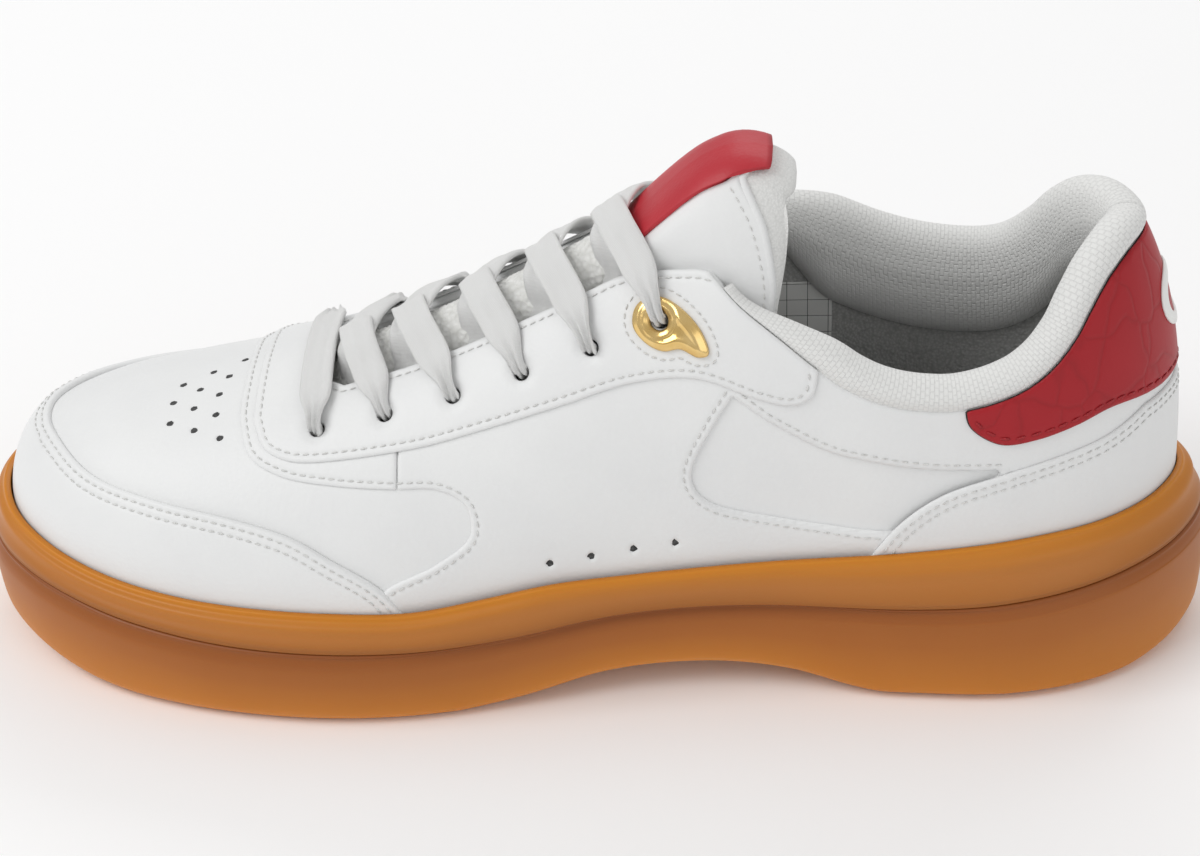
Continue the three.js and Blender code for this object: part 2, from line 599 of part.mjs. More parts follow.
add('cushion_core', fromRings([
  ring(flatOut(-CORE_INSET - FIT), (x) => groundZ(x) + OUTSOLE_FLOOR + FIT),
  ring(flatOut(-CORE_INSET - FIT), (x) => grooveZ(x) - FIT / 2),
], ladderCap), 0xe8e2d2, 0.9);
add('midsole_cup', fromRings([
  ring(flatOut(CAVITY_OUT), cupFloor),
  ring(flatOut(CAVITY_OUT), (x) => rimZ(x) - 0.5),
  ring(flatOut(CAVITY_OUT + 0.6), rimZ),
  ring(flatOut(CAVITY_OUT + 1.6), (x) => rimZ(x) - 0.7),
  ring((x) => (CAVITY_OUT + 1.6 + grooveOut(x)) / 2 + 0.5, (x) => (rimZ(x) + grooveZ(x)) / 2),
  ring(grooveOut, (x) => grooveZ(x) + 2.4),
  ring((x) => grooveOut(x) - 1.2, (x) => grooveZ(x) + FIT / 2),
], ladderCap), GUM, 0.5);
add('strobel_board', fromRings([
  ring(flatOut(CAVITY_OUT - 2 * FIT), (x) => boardTop(x) - BOARD),
  ring(flatOut(CAVITY_OUT - 2 * FIT), boardTop),
], ladderCap), 0xe9e4d8, 0.9);
add('sockliner', fromRings([
  ring(flatOut(LINING_IN - 2 * FIT), (x) => boardTop(x) + FIT),
  ring(flatOut(LINING_IN - 2 * FIT), (x) => boardTop(x) + FIT + INSOLE * 0.7),
  ring(flatOut(LINING_IN - 2 * FIT - 1.2), (x) => boardTop(x) + FIT + INSOLE),
], ladderCap), 0xb9bbb9, 0.95);

// ---- tongue --------------------------------------------------------------------------------------------
const HINGE_X = 8.3;
const tongueSides = sideCut([[-85, 50], [-40, 58], [10, 72], [10, 220], [-85, 220]]);
const tonguePlan = planCut([[[HINGE_X - 1.2, -27], [-20, -25.5], [-50, -22], [-70, -17], [-77, -9], [-79, 0],
  [-77, 9], [-70, 17], [-50, 22], [-20, 25.5], [HINGE_X - 1.2, 27]]]);
addSolid('tongue_lower', tongueShell.intersect(tonguePlan).intersect(tongueSides), 0xe4e4e0, 0.9);
const TONGUE_START = HINGE_X + 1.0;
const tongueLift = alongX([[8, 0], [12, 1.4], [16, 6], [20, 10.5], [24, 13.5], [30, 16], [36, 17], [44, 15]]
  .map(([x, z]) => [x, z * kz]));
const tongueTop = (y) => (39 + 5.5 * (y / 24) ** 2) * kx;
const spread = (y) => 1 - THREE.MathUtils.smoothstep(Math.abs(y / ky), 6.5, 15.5);

/** Outer surface of the upper tongue: share a along it, y across. */
function tongueSkin(a, y) {
  const x = TONGUE_START * kx + (tongueTop(y / ky) - TONGUE_START * kx) * a;
  const { p } = onCrown(x, y, TONGUE_OUT - 0.4);
  p.z += tongueLift(x) * spread(y);
  return p;
}
function tongueNormal(a, y) {
  const e = 0.02;
  const da = tongueSkin(Math.min(a + e, 1), y).sub(tongueSkin(Math.max(a - e, 0), y));
  const dy = tongueSkin(a, y + 0.3).sub(tongueSkin(a, y - 0.3));
  return da.cross(dy).normalize();
}
const tongueHalf = (a) => (25.5 - 7.5 * a * a) * ky;
const tonguePad = through([[0, TONGUE_THICK], [0.35, 4.5], [0.75, 7], [0.92, 5.5], [1, 1.6]]);
/** Rings across the tongue from its root to its rolled top. */
function tongueUpper() {
  const across = 10;
  const rings = [];
  for (let j = 0; j <= 8; j += 1) {
    const a = j / 8;
    const row = [];
    const under = [];
    for (let i = 0; i <= across; i += 1) {
      const b = 2 * i / across - 1;
      const y = tongueHalf(a) * b;
      const p = tongueSkin(a, y);
      const edge = 1 - 0.72 * b ** 6;
      row.push(p.clone());
      under.unshift(p.addScaledVector(tongueNormal(a, y), -tonguePad(a) * edge));
    }
    rings.push(row.concat(under));
  }
  return fromRings(rings, fanCap);
}
add('tongue_upper', tongueUpper(), 0xefefec, 0.6);

/** Label patch over the middle of the tongue. */
function tongueLabel() {
  const rings = [];
  for (let j = 0; j <= 8; j += 1) {
    const a = 0.16 + 0.8 * j / 8;
    const row = [];
    const under = [];
    for (let i = 0; i <= 6; i += 1) {
      const y = (-1.5 + 10.5 * (i / 3 - 1)) * ky;
      const p = tongueSkin(a, y);
      const n = tongueNormal(a, y);
      row.push(p.clone().addScaledVector(n, 3 * FIT + 0.9));
      under.unshift(p.addScaledVector(n, 3 * FIT));
    }
    rings.push(row.concat(under));
  }
  return fromRings(rings, fanCap);
}
add('tongue_label', tongueLabel(), RED, 0.45);

// ---- shoelace ------------------------------------------------------------------------------------------------
const NECK = 3.4; // lace width where it passes an eyelet
const OVER = FIT + LEATHER + 2 * FIT + LACE_THICK / 2;
const ORNAMENT = 1.5; // gold eyelet plate above the eyestay
const CROSS_GAP = LACE_THICK + FIT;
const AGLET_RADIUS = 1.3;
const AGLET_LENGTH = 16;
const TUCK = AGLET_RADIUS; // drop of the tucked end below the lining
const exitX = (k) => eyeletX(k) + (k === 0 ? 7 : 3) * kx;
const exitY = (side) => side * (THROAT_HALF - 1.2 - LACE_THICK) * ky;
const stationsOfLace = [];
/** One cross-section of the ribbon: middle, width direction, face direction, width. */
function station(p, wide, face, width) {
  stationsOfLace.push({ p: p.clone(), wide: wide.clone().normalize(), face: face.clone().normalize(), width });
}
/** Ribbon lying over the crown along plan points with heights and widths. */
function lieOn(points, heightOf, widthOf, count, from = 0, to = 1) {
  const curve = new THREE.CatmullRomCurve3(points.map(([x, y]) => new THREE.Vector3(x, y, 0)), false, 'centripetal');
  for (let i = 0; i <= count; i += 1) {
    const q = from + (to - from) * i / count;
    const c = curve.getPointAt(q);
    const tangent = curve.getTangentAt(q);
    const here = onCrown(c.x, c.y, heightOf(q));
    const next = onCrown(c.x + tangent.x * 0.5, c.y + tangent.y * 0.5, heightOf(Math.min(q + 0.01, 1)));
    const along = next.p.sub(here.p).normalize();
    const wide = new THREE.Vector3().crossVectors(here.normal, along);
    station(here.p, wide, new THREE.Vector3().crossVectors(along, wide), widthOf(q));
  }
}
const smooth = (q, a, b) => THREE.MathUtils.smoothstep(q, a, b);
const topOf = (k) => (k === EYELETS - 1 ? OVER + ORNAMENT : OVER);
/** Down through the eyelet k: narrow ribbon turning from the way it came to the way it leaves. */
function dive(k, side, came, leaves, down) {
  const { p, normal } = eyeletAt(k, side);
  const heights = [topOf(k) - 1.2, 0.2, -2, LACE_UNDER + 1.3];
  (down ? heights : heights.reverse()).forEach((h, i) => {
    const q = (i + 0.5) / 4;
    const way = came.clone().multiplyScalar(1 - q).addScaledVector(leaves, q).normalize();
    const wide = new THREE.Vector3().crossVectors(normal, way);
    const face = down ? way.clone() : way.clone().negate();
    station(p.clone().addScaledVector(normal, h), wide, face, NECK);
  });
}
const planWay = (a, b) => new THREE.Vector3(b[0] - a[0], b[1] - a[1], 0).normalize();
const holePlan = (k, side) => [eyeletX(k), side * EYELET_ROW * ky];

/** Half of the lace from the middle of the first bar to its tucked end. */
function laceRun(startSide) {
  let side = startSide;
  let k = 0;
  let came = new THREE.Vector3(0, side, 0);
  for (;;) {
    const hole = holePlan(k, side);
    if (k === EYELETS - 1) {
      const away = new THREE.Vector3(0.85, side * 0.5, 0).normalize();
      dive(k, side, came, away, true);
      const end = [hole[0] + 15 * kx, side * 30.6 * ky];
      const tuck = [[hole[0] + 2, hole[1] + side * 1.2], [hole[0] + 8 * kx, side * 27.8 * ky], end];
      const heights = (q) => LACE_UNDER - TUCK * smooth(q, 0.3, 1);
      lieOn(tuck, heights, (q) => NECK + 1.6 * smooth(q, 0, 0.5) - 1.8 * smooth(q, 0.7, 1), 5);
      const { p } = onCrown(end[0] + 10 * kx, side * 33.2 * ky, LACE_UNDER - TUCK - 2.6);
      return { beyond: p, side };
    }
    const out = [exitX(k), exitY(side)];
    const leaves = planWay(hole, out);
    dive(k, side, came, leaves, true);
    const other = holePlan(k + 1, -side);
    const start = [hole[0] + leaves.x * 2, hole[1] + leaves.y * 2];
    const widen = (q) => NECK + (LACE_WIDTH - NECK) * smooth(q, 0, 0.9);
    lieOn([start, out], () => LACE_UNDER, widen, 3, 0, 0.97);
    const stop = planWay(out, other);
    const last = [other[0] - stop.x * 1.2, other[1] - stop.y * 1.2];
    const crest = side < 0 ? 0 : CROSS_GAP;
    lieOn([out, last], (q) => {
      const rise = LACE_UNDER + (topOf(k + 1) - LACE_UNDER) * smooth(q, 0.03, 0.3);
      return rise + crest * smooth(q, 0.12, 0.3) * (1 - smooth(q, 0.5, 0.72));
    }, (q) => LACE_WIDTH - (LACE_WIDTH - NECK) * smooth(q, 0.84, 1), 8, 0.04, 1);
    came = stop;
    side = -side;
    k += 1;
  }
}
function shoelace() {
  const runs = [];
  const ends = [-1, 1].map((side) => {
    stationsOfLace.length = 0;
    lieOn([[eyeletX(0), 0], [eyeletX(0), side * (EYELET_ROW - 1.2) * ky]], () => OVER,
      (q) => LACE_WIDTH - (LACE_WIDTH - NECK) * smooth(q, 0.72, 1), 5);
    const end = laceRun(side);
    runs.push(stationsOfLace.slice());
    return end;
  });
  const flip = (s) => ({ ...s, wide: s.wide.clone().negate() });
  const all = runs[0].slice(1).reverse().concat(runs[1].map(flip));
  const rings = all.map((s) => {
    const w = s.wide.clone().multiplyScalar(s.width / 2);
    const h = s.face.clone().multiplyScalar(LACE_THICK / 2);
    const corner = ([a, b]) => s.p.clone().addScaledVector(w, a).addScaledVector(h, b);
    return [[-1, -1], [1, -1], [1, 1], [-1, 1]].map(corner);
  });
  add('shoelace', fromRings(rings, fanCap), 0xf6f6f3, 0.9);
  runs.forEach((run, i) => {
    const tip = run[run.length - 1];
    const along = ends[i].beyond.sub(tip.p).normalize();
    const g = new THREE.CylinderGeometry(AGLET_RADIUS, AGLET_RADIUS, AGLET_LENGTH, 8);
    g.applyQuaternion(new THREE.Quaternion().setFromUnitVectors(new THREE.Vector3(0, 1, 0), along));
    const c = tip.p.clone().addScaledVector(along, AGLET_LENGTH / 2 + 2 * FIT);
    g.translate(c.x, c.y, c.z);
    add(ends[i].side < 0 ? 'lateral_aglet' : 'medial_aglet', g, 0xf0f0ee, 0.35);
  });
}
shoelace();

// ---- metal eyelets, heel emblem -----------------------------------------------------------------------------------
// Teardrop round the last eyelet, in side view from the eyelet's middle.
const TEARDROP = [[-6.2, -2], [-3.2, -5], [0.8, -6.2], [4.8, -5.4], [8.8, -6.8], [11.3, -6], [9.9, -1.4],
  [6.3, 2.4], [1.3, 4.6], [-2.7, 4], [-5.7, 1.5], [-6.2, -2]];
const lastEyelet = eyeletAt(EYELETS - 1, -1).p;
const ornamentLine = [TEARDROP.map(([x, z]) => [lastEyelet.x + x, lastEyelet.z + z])];
const plate = shell(FIT + LEATHER + FIT + ORNAMENT - FIT, FIT + LEATHER + FIT)
  .intersect(sideCut(ornamentLine, -WIDE, WIDE, (p) => p)).subtract(eyeletHoles);
addSolid('lateral_gold_eyelet', plate.intersect(box(-200, 200, -WIDE, 0, -10, 250)), 0xc79a45, 0.25, 1);
addSolid('medial_gold_eyelet', plate.intersect(box(-200, 200, 0, WIDE, -10, 250)), 0xc79a45, 0.25, 1);
const emblemShape = new THREE.Shape().absarc(0, 0, 8, 0, Math.PI * 2);
emblemShape.holes.push(new THREE.Path().absarc(0, 0, 5, 0, Math.PI * 2));
const emblemCut = new THREE.ExtrudeGeometry(emblemShape, { depth: 80, bevelEnabled: false, curveSegments: 7 });
emblemCut.rotateY(Math.PI / 2);
emblemCut.translate(100 * kx, 0, gradeZ(91));
const emblemSheet = shell(FIT + LEATHER + FIT + 0.5, FIT + LEATHER + FIT);
addSolid('heel_emblem', emblemSheet.intersect(toSolid(emblemCut)), 0xf4f4f2, 0.8);

// ---- assembly: the origin is the middle of the plan box, on the ground ------------------------------------------------
const shoe = new THREE.Group();
parts.forEach((mesh) => shoe.add(mesh));
const extent = new THREE.Box3().setFromObject(shoe);
shoe.position.set(-(extent.min.x + extent.max.x) / 2, -(extent.min.y + extent.max.y) / 2, 0);
shoe.updateMatrixWorld(true);

export default shoe;
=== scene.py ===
import math

import bpy
import numpy as np
from mathutils import Matrix, Vector


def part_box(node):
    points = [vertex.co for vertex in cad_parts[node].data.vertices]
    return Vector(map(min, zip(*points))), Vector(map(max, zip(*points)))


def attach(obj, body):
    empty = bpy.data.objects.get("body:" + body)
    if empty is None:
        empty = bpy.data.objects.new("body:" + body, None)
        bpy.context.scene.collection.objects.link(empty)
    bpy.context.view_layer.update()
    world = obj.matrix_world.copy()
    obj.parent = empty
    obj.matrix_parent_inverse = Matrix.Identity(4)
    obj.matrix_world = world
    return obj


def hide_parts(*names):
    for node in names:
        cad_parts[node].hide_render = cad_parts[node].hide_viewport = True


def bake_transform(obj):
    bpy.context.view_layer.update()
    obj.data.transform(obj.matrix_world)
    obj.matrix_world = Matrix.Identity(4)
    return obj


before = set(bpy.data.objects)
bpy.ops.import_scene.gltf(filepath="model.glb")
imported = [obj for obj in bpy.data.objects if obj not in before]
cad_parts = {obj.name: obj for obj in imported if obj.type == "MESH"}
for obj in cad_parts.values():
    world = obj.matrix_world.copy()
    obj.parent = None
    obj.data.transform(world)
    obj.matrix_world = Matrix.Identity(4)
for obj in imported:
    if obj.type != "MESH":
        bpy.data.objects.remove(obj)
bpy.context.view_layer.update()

# ---- the last, the same surface as the CAD's, in millimetres: +X heel, +Y medial ------------
FIT, LEATHER, UPPER_DROP = 0.3, 1.0, 5.0
LINING_OUT = -3 * (LEATHER + FIT)
LINING_IN = LINING_OUT - LEATHER
LACE_WIDTH, LACE_THICK, NECK = 8.0, 1.4, 3.4  # NECK: the lace's width where an eyelet gathers it
LACE_UNDER = LINING_IN - 2 * FIT - LACE_THICK / 2
TONGUE_OUT = LINING_IN - 3 * FIT - LACE_THICK
EYELETS, EYELET_ROW, HOLE = 6, 23.4, 2.0
FIRST_EYELET, EYELET_PITCH = -63.8, 16.7
THROAT_HALF = 14.0
SEAM_X = -44.0
HANDS = ((-1, "lateral"), (1, "medial"))


def through(stations):
    """Smooth curve through (x, value) stations, level beyond its ends."""
    xs, ys = np.array(stations, float).T
    k = np.arange(len(xs))
    before, after = np.maximum(k - 1, 0), np.minimum(k + 1, len(xs) - 1)
    slope = (ys[after] - ys[before]) / (xs[after] - xs[before])

    def at(x):
        x = np.clip(x, xs[0], xs[-1])
        i = np.clip(np.searchsorted(xs, x) - 1, 0, len(xs) - 2)
        w = xs[i + 1] - xs[i]
        q = (x - xs[i]) / w
        return (ys[i] + (ys[i + 1] - ys[i]) * q * q * (3 - 2 * q)
                + slope[i] * w * q * (1 - q) ** 2 + slope[i + 1] * w * q * q * (q - 1))

    return at


def catmull(points, count, closed=False):
    """Centripetal spline through points, count steps, even in its own parameter."""
    p = np.array(points, float)
    n = len(p)
    spans = n if closed else n - 1
    out = []
    for k in range(count if closed else count + 1):
        t = spans * k / count
        i = min(int(t), spans - 1)
        q = t - i
        if closed:
            a, b, c, d = (p[(i + o) % n] for o in (-1, 0, 1, 2))
        else:
            b, c = p[i], p[i + 1]
            a = p[i - 1] if i else 2 * b - c
            d = p[i + 2] if i + 2 < n else 2 * c - b
        d0, d1, d2 = (max(np.linalg.norm(v) ** 0.5, 1e-4) for v in (b - a, c - b, d - c))
        m1 = ((b - a) / d0 - (c - a) / (d0 + d1) + (c - b) / d1) * d1
        m2 = ((c - b) / d1 - (d - b) / (d1 + d2) + (d - c) / d2) * d1
        out.append(b + m1 * q + (3 * (c - b) - 2 * m1 - m2) * q * q + (2 * (b - c) + m1 + m2) * q ** 3)
    return np.array(out)


LATERAL = [[-143.5, -10], [-134, -22], [-119, -32.5], [-98, -40.5], [-72, -45], [-45, -45.5], [-18, -42],
           [12, -38], [45, -36], [78, -35.5], [104, -33], [124, -26], [138, -14]]
MEDIAL = [[-143.5, 19], [-134, 30.5], [-119, 40.5], [-98, 47], [-72, 49.5], [-45, 47], [-15, 41],
          [15, 36.5], [45, 35], [75, 34.5], [102, 32.5], [124, 26], [138, 14]]
OUTLINE = catmull([[-147, 5]] + LATERAL + [[144, 0]] + MEDIAL[::-1], 1200, True)
TOE, HEEL = int(OUTLINE[:, 0].argmin()), int(OUTLINE[:, 0].argmax())
TOE_X, HEEL_X = OUTLINE[TOE, 0], OUTLINE[HEEL, 0]
FLANK = {-1: np.roll(OUTLINE, -TOE, 0)[:(HEEL - TOE) % 1200 + 1],
         1: np.roll(OUTLINE[::-1], -(1199 - TOE), 0)[:(TOE - HEEL) % 1200 + 1]}

rim_z = through([[-150, 37.5], [-135, 34.5], [-112, 31.7], [-90, 30.4], [-60, 29.8], [-42, 29.8], [-25, 32],
                 [-8, 34.8], [12, 36], [45, 38.4], [80, 40.6], [112, 43], [150, 43.5]])
ridge_z = through([[-160, 46], [-140, 55.5], [-120, 61.5], [-100, 65.5], [-80, 70], [-60, 75.5], [-40, 83],
                   [-20, 93], [0, 104], [20, 115], [40, 125], [60, 132], [160, 134]])
ridge_y = through([[-150, 4], [-100, 1], [-50, 1], [0, 0.5], [60, 0], [160, 0]])
roundness = through([[-150, 2.25], [-110, 2.2], [-60, 2.05], [-20, 1.95], [20, 2.1], [60, 2.4], [150, 2.5]])


def edge_y(side, x):
    return np.where(side < 0, np.interp(x, FLANK[-1][:, 0], FLANK[-1][:, 1]),
                    np.interp(x, FLANK[1][:, 0], FLANK[1][:, 1]))


def ridge_x(x):
    u, w = x - TOE_X, HEEL_X - x
    return x + (np.hypot(u, 20) - u) - (np.hypot(w, 50) - w)


def last(u, t):
    """Points of the last: u is -1 and 1 at the heel, 0 at the toe; t is 0 at the sole, 1 on the ridge."""
    u, t = np.broadcast_arrays(np.asarray(u, float), np.asarray(t, float))
    u = np.where(u > 1, u - 2, np.where(u < -1, u + 2, u))
    side = np.where(u < 0, -1, 1)
    x0 = TOE_X + (HEEL_X - TOE_X) * (1 - np.cos(np.pi * np.abs(u))) / 2
    y0 = edge_y(side, x0)
    xr = ridge_x(x0)
    power = 2 / roundness(x0)
    h = 1 - np.maximum(np.cos(t * np.pi / 2), 0) ** power
    v = np.sin(np.clip(t, 0, 1) * np.pi / 2) ** power
    x = x0 + (xr - x0) * h
    z0 = rim_z(x0) - UPPER_DROP
    return np.stack([x, y0 + (ridge_y(xr) - y0) * h, z0 + (ridge_z(x) - z0) * v], -1)


def unit(v):
    return v / np.maximum(np.linalg.norm(v, axis=-1, keepdims=True), 1e-9)


def last_normal(u, t):
    u, t = np.broadcast_arrays(np.asarray(u, float), np.asarray(t, float))
    du = last(u + 0.003, t) - last(u - 0.003, t)
    dt = last(u, np.minimum(t + 0.003, 1)) - last(u, np.maximum(t - 0.003, 0))
    n = unit(np.cross(dt, du))
    x = last(u, np.ones_like(t))[..., 0]
    top = unit(np.stack([ridge_z(x - 0.5) - ridge_z(x + 0.5), 0 * x, 1 + 0 * x], -1))
    q = np.clip((t - 0.95) / 0.04, 0, 1)[..., None]
    return unit(n * (1 - q) + top * q)


def crown_z(x, y):
    """Height of the last over plan point (x, y) behind the toe."""
    x, y = np.broadcast_arrays(np.asarray(x, float), np.asarray(y, float))
    side = np.where(y < ridge_y(x), -1, 1)
    x0, h = x + 0.0, 0 * x
    for _ in range(12):
        y0, xr = edge_y(side, x0), ridge_x(x0)
        h = np.clip((y0 - y) / (y0 - ridge_y(xr)), 0, 1)
        x0 = x - (xr - x0) * h
    n = roundness(x0)
    z0 = rim_z(x0) - UPPER_DROP
    return z0 + (ridge_z(x) - z0) * (1 - (1 - h) ** n) ** (1 / n)


def on_crown(x, y, d):
    x, y = np.broadcast_arrays(np.asarray(x, float), np.asarray(y, float))
    e = 0.4
    n = unit(np.stack([(crown_z(x - e, y) - crown_z(x + e, y)) / (2 * e),
                       (crown_z(x, y - e) - crown_z(x, y + e)) / (2 * e), 1 + 0 * x], -1))
    return np.stack([x, y, crown_z(x, y)], -1) + n * np.asarray(d)[..., None], n


def smooth(q, a, b):
    q = np.clip((q - a) / (b - a), 0, 1)
    return q * q * (3 - 2 * q)


def stretch(m):
    return m + 0.06 * np.sin(2 * np.pi * m)


def ring(out, z, n=44):
    """Closed ring round the sole edge: out is its distance outside the last, z its height."""
    i = np.arange(n)
    m = np.where(i <= n / 2, 2 * i / n, 2 - 2 * i / n)
    u = stretch(m) * np.where(i <= n / 2, -1, 1)
    p = last(u, 0 * u)
    q = last(u + 0.004, 0 * u) - last(u - 0.004, 0 * u)
    w = unit(np.stack([-q[:, 1], q[:, 0]], -1))
    off = (out(p[:, 0]) if callable(out) else out) + 0 * u
    xy = p[:, :2] + w * off[:, None]
    return np.column_stack([xy, z(xy[:, 0])])


# the CAD's origin is the middle of its plan box: the strobel board gives the shift
board = ring(FIT + LEATHER, rim_z)
low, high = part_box("strobel_board")
SHIFT = np.array([(low.x + high.x) * 500 - (board[:, 0].min() + board[:, 0].max()) / 2,
                  (low.y + high.y) * 500 - (board[:, 1].min() + board[:, 1].max()) / 2, 0])


def metres(p):
    return (np.asarray(p, float) + SHIFT) / 1000


# ---- mesh helpers -------------------------------------------------------------------------
def make(name, points, faces, mat, body="shoe", slot=None, uv=None, painted_light_band=None):
    """A mesh object from points in millimetres, riding on its body; loose points are dropped."""
    points = np.asarray(points, float)
    used = np.unique(np.concatenate([np.asarray(f) for f in faces]))
    index = np.full(len(points), -1)
    index[used] = np.arange(len(used))
    mesh = bpy.data.meshes.new(name)
    mesh.from_pydata(metres(points[used]).tolist(), [], [index[f].tolist() for f in faces])
    mesh.materials.append(mat)
    mesh.polygons.foreach_set("use_smooth", [True] * len(mesh.polygons))
    loops = np.zeros(len(mesh.loops), int)
    mesh.loops.foreach_get("vertex_index", loops)
    if uv is not None:
        layer = mesh.uv_layers.new(name="along")
        layer.data.foreach_set("uv", (np.asarray(uv, float)[used] / 1000)[loops].ravel())
    # painted light band: where each point lies in its gum tier, which the gum ramps turn into painted shade
    # and painted glow
    if painted_light_band is not None:
        a = mesh.attributes.new("painted_light_band", "FLOAT", "POINT")
        a.data.foreach_set("value", np.asarray(painted_light_band, np.float32)[used])
    mesh.update()
    o = bpy.data.objects.new(name, mesh)
    bpy.context.collection.objects.link(o)
    if body:
        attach(o, body)
    return o


def grid_faces(rows, cols, start=0, wrap=False):
    j, i = np.meshgrid(np.arange(rows - 1), np.arange(cols if wrap else cols - 1), indexing="ij")
    a = start + j * cols + i
    b = start + j * cols + (i + 1) % cols
    return np.stack([a, b, b + cols, a + cols], -1).reshape(-1, 4)


def trimmed(field, faces):
    """Faces of a grid cut along field = 0: kept faces, and the cut points as (p, q, share)."""
    f = np.where(np.abs(field) < 1e-4, 1e-4, field)
    inside = f[faces] > 0
    whole = faces[inside.all(1)]
    part = faces[inside.any(1) & ~inside.all(1)]
    cuts, order, cut_faces = {}, [], []
    base = len(f)
    for face in part.tolist():
        poly = []
        for k in range(4):
            p, q = face[k], face[(k + 1) % 4]
            if f[p] > 0:
                poly.append(p)
            if (f[p] > 0) != (f[q] > 0):
                key = (min(p, q), max(p, q))
                if key not in cuts:
                    cuts[key] = base + len(order)
                    order.append((key[0], key[1], min(max(f[key[0]] / (f[key[0]] - f[key[1]]), 0.03), 0.97)))
                poly.append(cuts[key])
        poly = [v for k, v in enumerate(poly) if v != poly[k - 1]]
        if len(poly) > 2:
            cut_faces.append(poly)
    return whole, cut_faces, order


def contour(field, faces, points):
    """Polylines where field is 0 on the grid."""
    whole, cut_faces, order = trimmed(field, faces)
    base = len(field)
    if not order:
        return []
    o = np.array([(a, b) for a, b, _ in order])
    s = np.array([c for _, _, c in order])[:, None]
    xyz = points[o[:, 0]] * (1 - s) + points[o[:, 1]] * s
    links = {}
    for poly in cut_faces:
        new = [v for v in poly if v >= base]
        if len(new) == 2:
            links.setdefault(new[0], []).append(new[1])
            links.setdefault(new[1], []).append(new[0])
    seen, lines = set(), []
    ends = [v for v in links if len(links[v]) == 1] + list(links)
    for start in ends:
        if start in seen:
            continue
        line, v = [start], start
        seen.add(start)
        while True:
            follow = [w for w in links[v] if w not in seen]
            if not follow:
                break
            v = follow[0]
            seen.add(v)
            line.append(v)
        if len(line) > 3:
            closed = start in links[line[-1]] and len(line) > 8
            pts = xyz[np.array(line) - base]
            lines.append(np.vstack([pts, pts[:1]]) if closed else pts)
    return lines


# ---- dense grid over the last ---------------------------------------------------------------
COLS, ROWS = ((1160, 170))
HALF = COLS // 2
gi = np.arange(COLS)
gu = stretch(np.abs(gi - HALF) / HALF) * np.sign(gi - HALF)
U, T = np.meshgrid(gu, np.linspace(0, 1, ROWS))
P = last(U, T).reshape(-1, 3)
N = last_normal(U, T).reshape(-1, 3)
weld = np.arange(ROWS * COLS).reshape(ROWS, COLS)
weld[-1, HALF + 1:] = weld[-1, HALF - 1:0:-1]
GRID = weld.ravel()[grid_faces(ROWS, COLS, wrap=True)]
X, Y, Z = P.T


def smooth_run(items):
    """Points of an outline: a list of points inside it is a smooth run, the rest are corners."""
    out = []
    for item in items:
        out += catmull(item, 6 * len(item)).tolist() if isinstance(item[0], list) else [item]
    return np.array(out, float)


def signed(poly, a, b, na, nb):
    """Distance inside a closed outline, measured along the surface near the edge."""
    q = np.roll(poly, -1, 0)
    best = np.full(len(a), 1e9)
    ga, gb = np.zeros(len(a)), np.zeros(len(a))
    odd = np.zeros(len(a), bool)
    for (x0, y0), (x1, y1) in zip(poly, q):
        dx, dy = x1 - x0, y1 - y0
        s = np.clip(((a - x0) * dx + (b - y0) * dy) / max(dx * dx + dy * dy, 1e-12), 0, 1)
        ex, ey = a - x0 - s * dx, b - y0 - s * dy
        d = ex * ex + ey * ey
        near = d < best
        best = np.where(near, d, best)
        ga, gb = np.where(near, ex, ga), np.where(near, ey, gb)
        if dy:
            odd ^= ((y0 > b) != (y1 > b)) & (a < x0 + (b - y0) * dx / dy)
    d = np.sqrt(best)
    slope = 1 - ((ga * na + gb * nb) / np.maximum(d, 1e-6)) ** 2
    return np.where(odd, d, -d) / np.sqrt(np.clip(slope, 0.09, 1))


def side_field(items):
    return signed(smooth_run(items), X, Z, N[:, 0], N[:, 2])


def plan_field(items):
    return signed(smooth_run(items), X, Y, N[:, 0], N[:, 1])


TOPLINE = {-1: [[29, 111], [33, 107.5], [38, 103], [47, 96.5], [54.8, 90.3], [62, 84.8], [70.4, 80.8],
                [80.6, 78.6], [90.4, 78.6], [102.8, 82], [110.2, 86.7], [116, 93.5], [120, 100.5],
                [124, 105.8], [130, 109.2], [160, 110]],
           1: [[29, 111], [34, 108], [41, 103.5], [50, 98.5], [60, 93], [70, 88.2], [82, 84.6], [94, 83.4],
               [103, 84.8], [110.2, 88.8], [116, 95], [120, 101.3], [124, 106.1], [130, 109.2], [160, 110]]}
topline = {s: through(TOPLINE[s]) for s in TOPLINE}
EYESTAY = [[-80, 66.5], [-77, 63.3], [-71, 62], [-65.6, 62.2], [-56.2, 63.6], [-44.4, 65.8], [-36.4, 67.6],
           [-23.8, 71.4], [-4.5, 78], [14.6, 84.6], [28.7, 86], [42.7, 81.6], [50, 80.4], [55, 83],
           [56.5, 92]]
QUARTER_FRONT = [[-84, 66.5], [-81, 62], [-73, 59.4], [-58.8, 58.6], [-44.4, 58.6], [-34, 58.6],
                 [-27.5, 55], [-26.8, 47.6], [-35, 41], [-48, 34.4], [-53, 26]]
WINDOW_EDGE = [[36.2, 82], [31.1, 73.4], [26.4, 62.6], [27.4, 57.6], [31.8, 53.6], [45.4, 49.9],
               [59.2, 47.2], [71.8, 45.4], [86, 46]]
WINDOW_TOP = [[100, 61.6], [81.4, 62.8], [68, 65.4], [59, 67.9], [44.5, 75.8]]
MUDGUARD = [[-136, 56.6], [-131, 55.6], [-122, 53.2], [-104, 51.6], [-84.5, 50.3], [-70, 47.4],
            [-60.6, 42.7], [-49, 35.4], [-42, 26]]
FOXING = [[64, 30], [69.3, 39.2], [76.3, 48.5], [86, 55.9], [99.6, 60.6], [113, 63.7], [126, 66.6], [134, 70]]
